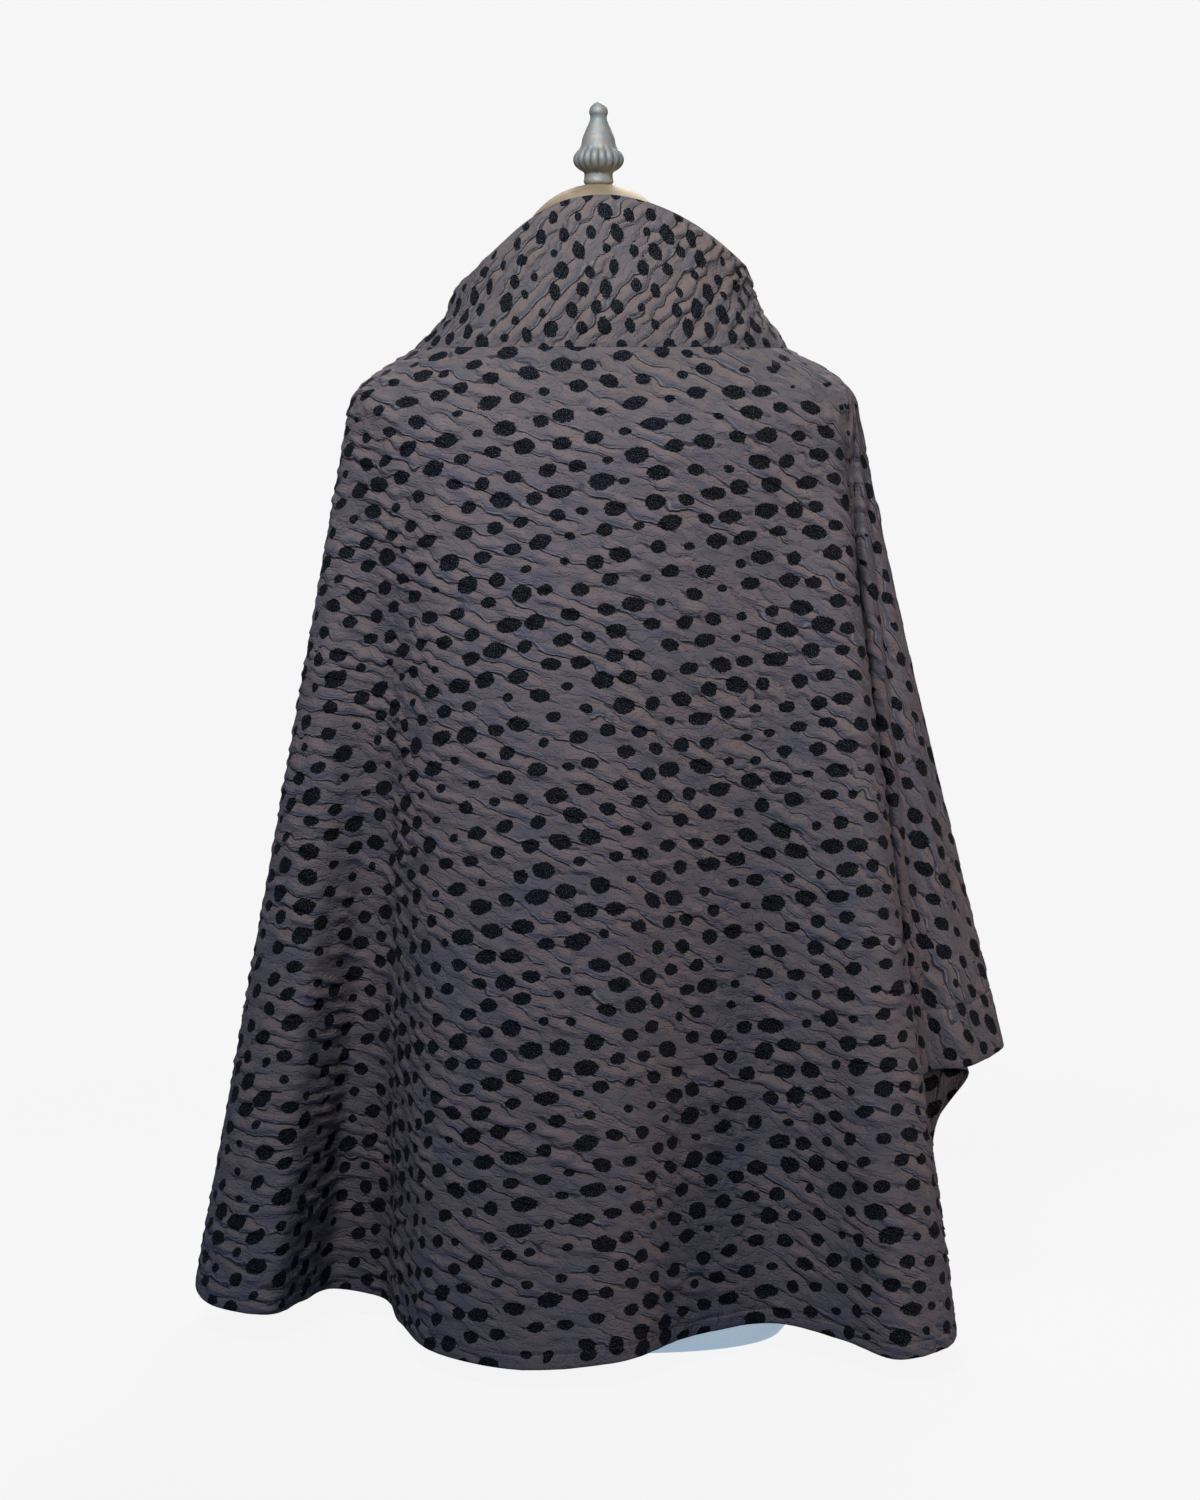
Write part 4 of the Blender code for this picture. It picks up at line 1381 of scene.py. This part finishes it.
class PONCHO_OT_finial(bpy.types.Operator):
    """Make the ribbed metal finial on top of the cap"""

    bl_idname = "poncho.finial"
    bl_label = "Finial"

    def execute(self, context):
        base = TORSO[-1].height * MM + FINIAL_LIFT + cap_height()
        curve = smooth_run(FINIAL, 4)
        sides = FINIAL_RIBS * RIB_SIDES
        rib = np.abs(np.sin(np.pi * np.arange(sides) / RIB_SIDES))
        profile, wobble = [], []
        for height, radius, ribs in curve:
            profile.append((max(radius, 0.5) * MM, base + height * MM))
            wobble.append(RIB_DEPTH * np.clip(ribs, 0, 1) * (1 - rib))
        paint = material_named("pewter", pewter)
        piece = loft("ribbed_finial", turned_rings(profile, sides, wobble), paint)
        depth = np.array(wobble).ravel() / RIB_DEPTH
        hollow = piece.data.attributes.new("hollow", "FLOAT", "POINT")
        hollow.data.foreach_set("value", (depth ** 2).astype(np.float32))
        dress(piece, "finial")
        return {"FINISHED"}


class PONCHO_OT_collar(bpy.types.Operator):
    """Make the standing funnel collar"""

    bl_idname = "poncho.collar"
    bl_label = "Collar"

    def execute(self, context):
        cloth = cloth_pieces()["collar"]
        paint = crinkled_cloth("collar_crinkled_cloth", -COLLAR_LAY)
        piece, _ = cloth_shell(cloth, "collar_cloth", SEEDS["collar"], paint)
        dress(piece, "collar")
        size, area = flat_size(cloth)
        return {"FINISHED"}


class PONCHO_OT_back(bpy.types.Operator):
    """Make the back panel, with half of the sleeve cut in one with it"""

    bl_idname = "poncho.back"
    bl_label = "Back panel"

    def execute(self, context):
        make_panel("back", SEEDS["back"], "back_panel")
        return {"FINISHED"}


class PONCHO_OT_front(bpy.types.Operator):
    """Make the front panel, with half of the sleeve cut in one with it"""

    bl_idname = "poncho.front"
    bl_label = "Front panel"

    def execute(self, context):
        make_panel("front", SEEDS["front"], "front_panel")
        return {"FINISHED"}


class PONCHO_OT_stage(bpy.types.Operator):
    """Make the plain pale floor, the soft lights and the camera"""

    bl_idname = "poncho.stage"
    bl_label = "Stage"

    def execute(self, context):
        floor = bpy.data.meshes.new("floor")
        corners = [(x * FLOOR_REACH, y * FLOOR_REACH, 0) for x, y in ((-1, -1), (1, -1), (1, 1), (-1, 1))]
        floor.from_pydata(corners, [], [(0, 1, 2, 3)])
        floor.materials.append(material_named("pale_stage", stage_paint))
        add_object("floor", floor)
        make_world(context.scene)
        own = settings("stage")
        make_light("key", (0.3, 1.3, 1.9), (0, 0, 1.15), own.key_power, WARM_WHITE, 90)
        make_light("front_key", (-0.3, -1.4, 1.9), (0, 0, 1.15), own.key_power, WARM_WHITE, 90)
        make_light("sleeve_key", (-1.6, 0.3, 0.55), (-0.25, 0, 0.35), own.side_power, LAMPLIGHT, 120)
        camera = bpy.data.cameras.new("camera")
        camera.lens = FOCAL_PIXELS / PICTURE_HEIGHT * SENSOR
        camera.sensor_width = SENSOR
        holder = add_object("camera", camera)
        holder.location = CAMERA_PLACE
        holder.rotation_euler = (math.radians(CAMERA_TILT), 0, math.pi)
        context.scene.camera = holder
        context.scene.view_settings.view_transform = "Standard"
        return {"FINISHED"}


def make_world(scene):
    """An even white backdrop that lights the object more softly than it looks."""
    own = settings("stage")
    shade = Shade(bpy.data.worlds.new("pale_studio"))
    seen = shade.add("ShaderNodeBackground", None, {"Color": (*[own.backdrop] * 3, 1)})
    lit = shade.add("ShaderNodeBackground", None, {"Color": (*SKYLIGHT, 1), "Strength": own.fill})
    ray = shade.add("ShaderNodeLightPath", None, None, "Is Camera Ray")
    mixed = shade.add("ShaderNodeMixShader", None, {0: ray, 1: lit, 2: seen})
    scene.world = shade.end(mixed, "ShaderNodeOutputWorld")


def make_light(name, place_at, target, power, tint, spread):
    """A square soft light that points at the target, with its spread in degrees."""
    lamp = bpy.data.lights.new(name, "AREA")
    lamp.size = LIGHT_SIZE
    lamp.spread = math.radians(spread)
    lamp.energy = power
    lamp.color = tint
    holder = add_object(name, lamp)
    holder.location = place_at
    towards = Vector(target) - holder.location
    holder.rotation_euler = towards.to_track_quat("-Z", "Y").to_euler()


STEPS = (PONCHO_OT_form, PONCHO_OT_neck_cap, PONCHO_OT_finial, PONCHO_OT_collar, PONCHO_OT_back,
         PONCHO_OT_front, PONCHO_OT_stage)


class PONCHO_PT_panel(bpy.types.Panel):
    """The settings and the steps, in the order in which they are run"""

    bl_label = "Poncho"
    bl_space_type = "VIEW_3D"
    bl_region_type = "UI"
    bl_category = "Poncho"

    def draw(self, context):
        for group, kind in GROUPS.items():
            box = self.layout.box()
            box.label(text=group.capitalize())
            for name in kind.__annotations__:
                box.prop(settings(group), name)
        for step in STEPS:
            self.layout.operator(step.bl_idname)


CLASSES = (*GROUPS.values(), *STEPS, PONCHO_PT_panel)


def register():
    for item in CLASSES:
        bpy.utils.register_class(item)
    for group, kind in GROUPS.items():
        setattr(bpy.types.Scene, "poncho_" + group, bpy.props.PointerProperty(type=kind))


def unregister():
    for group in GROUPS:
        delattr(bpy.types.Scene, "poncho_" + group)
    for item in reversed(CLASSES):
        bpy.utils.unregister_class(item)


def main():
    register()
    for step in STEPS:
        group, name = step.bl_idname.split(".")
        getattr(getattr(bpy.ops, group), name)()
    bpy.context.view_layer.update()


if __name__ == "__main__":
    main()
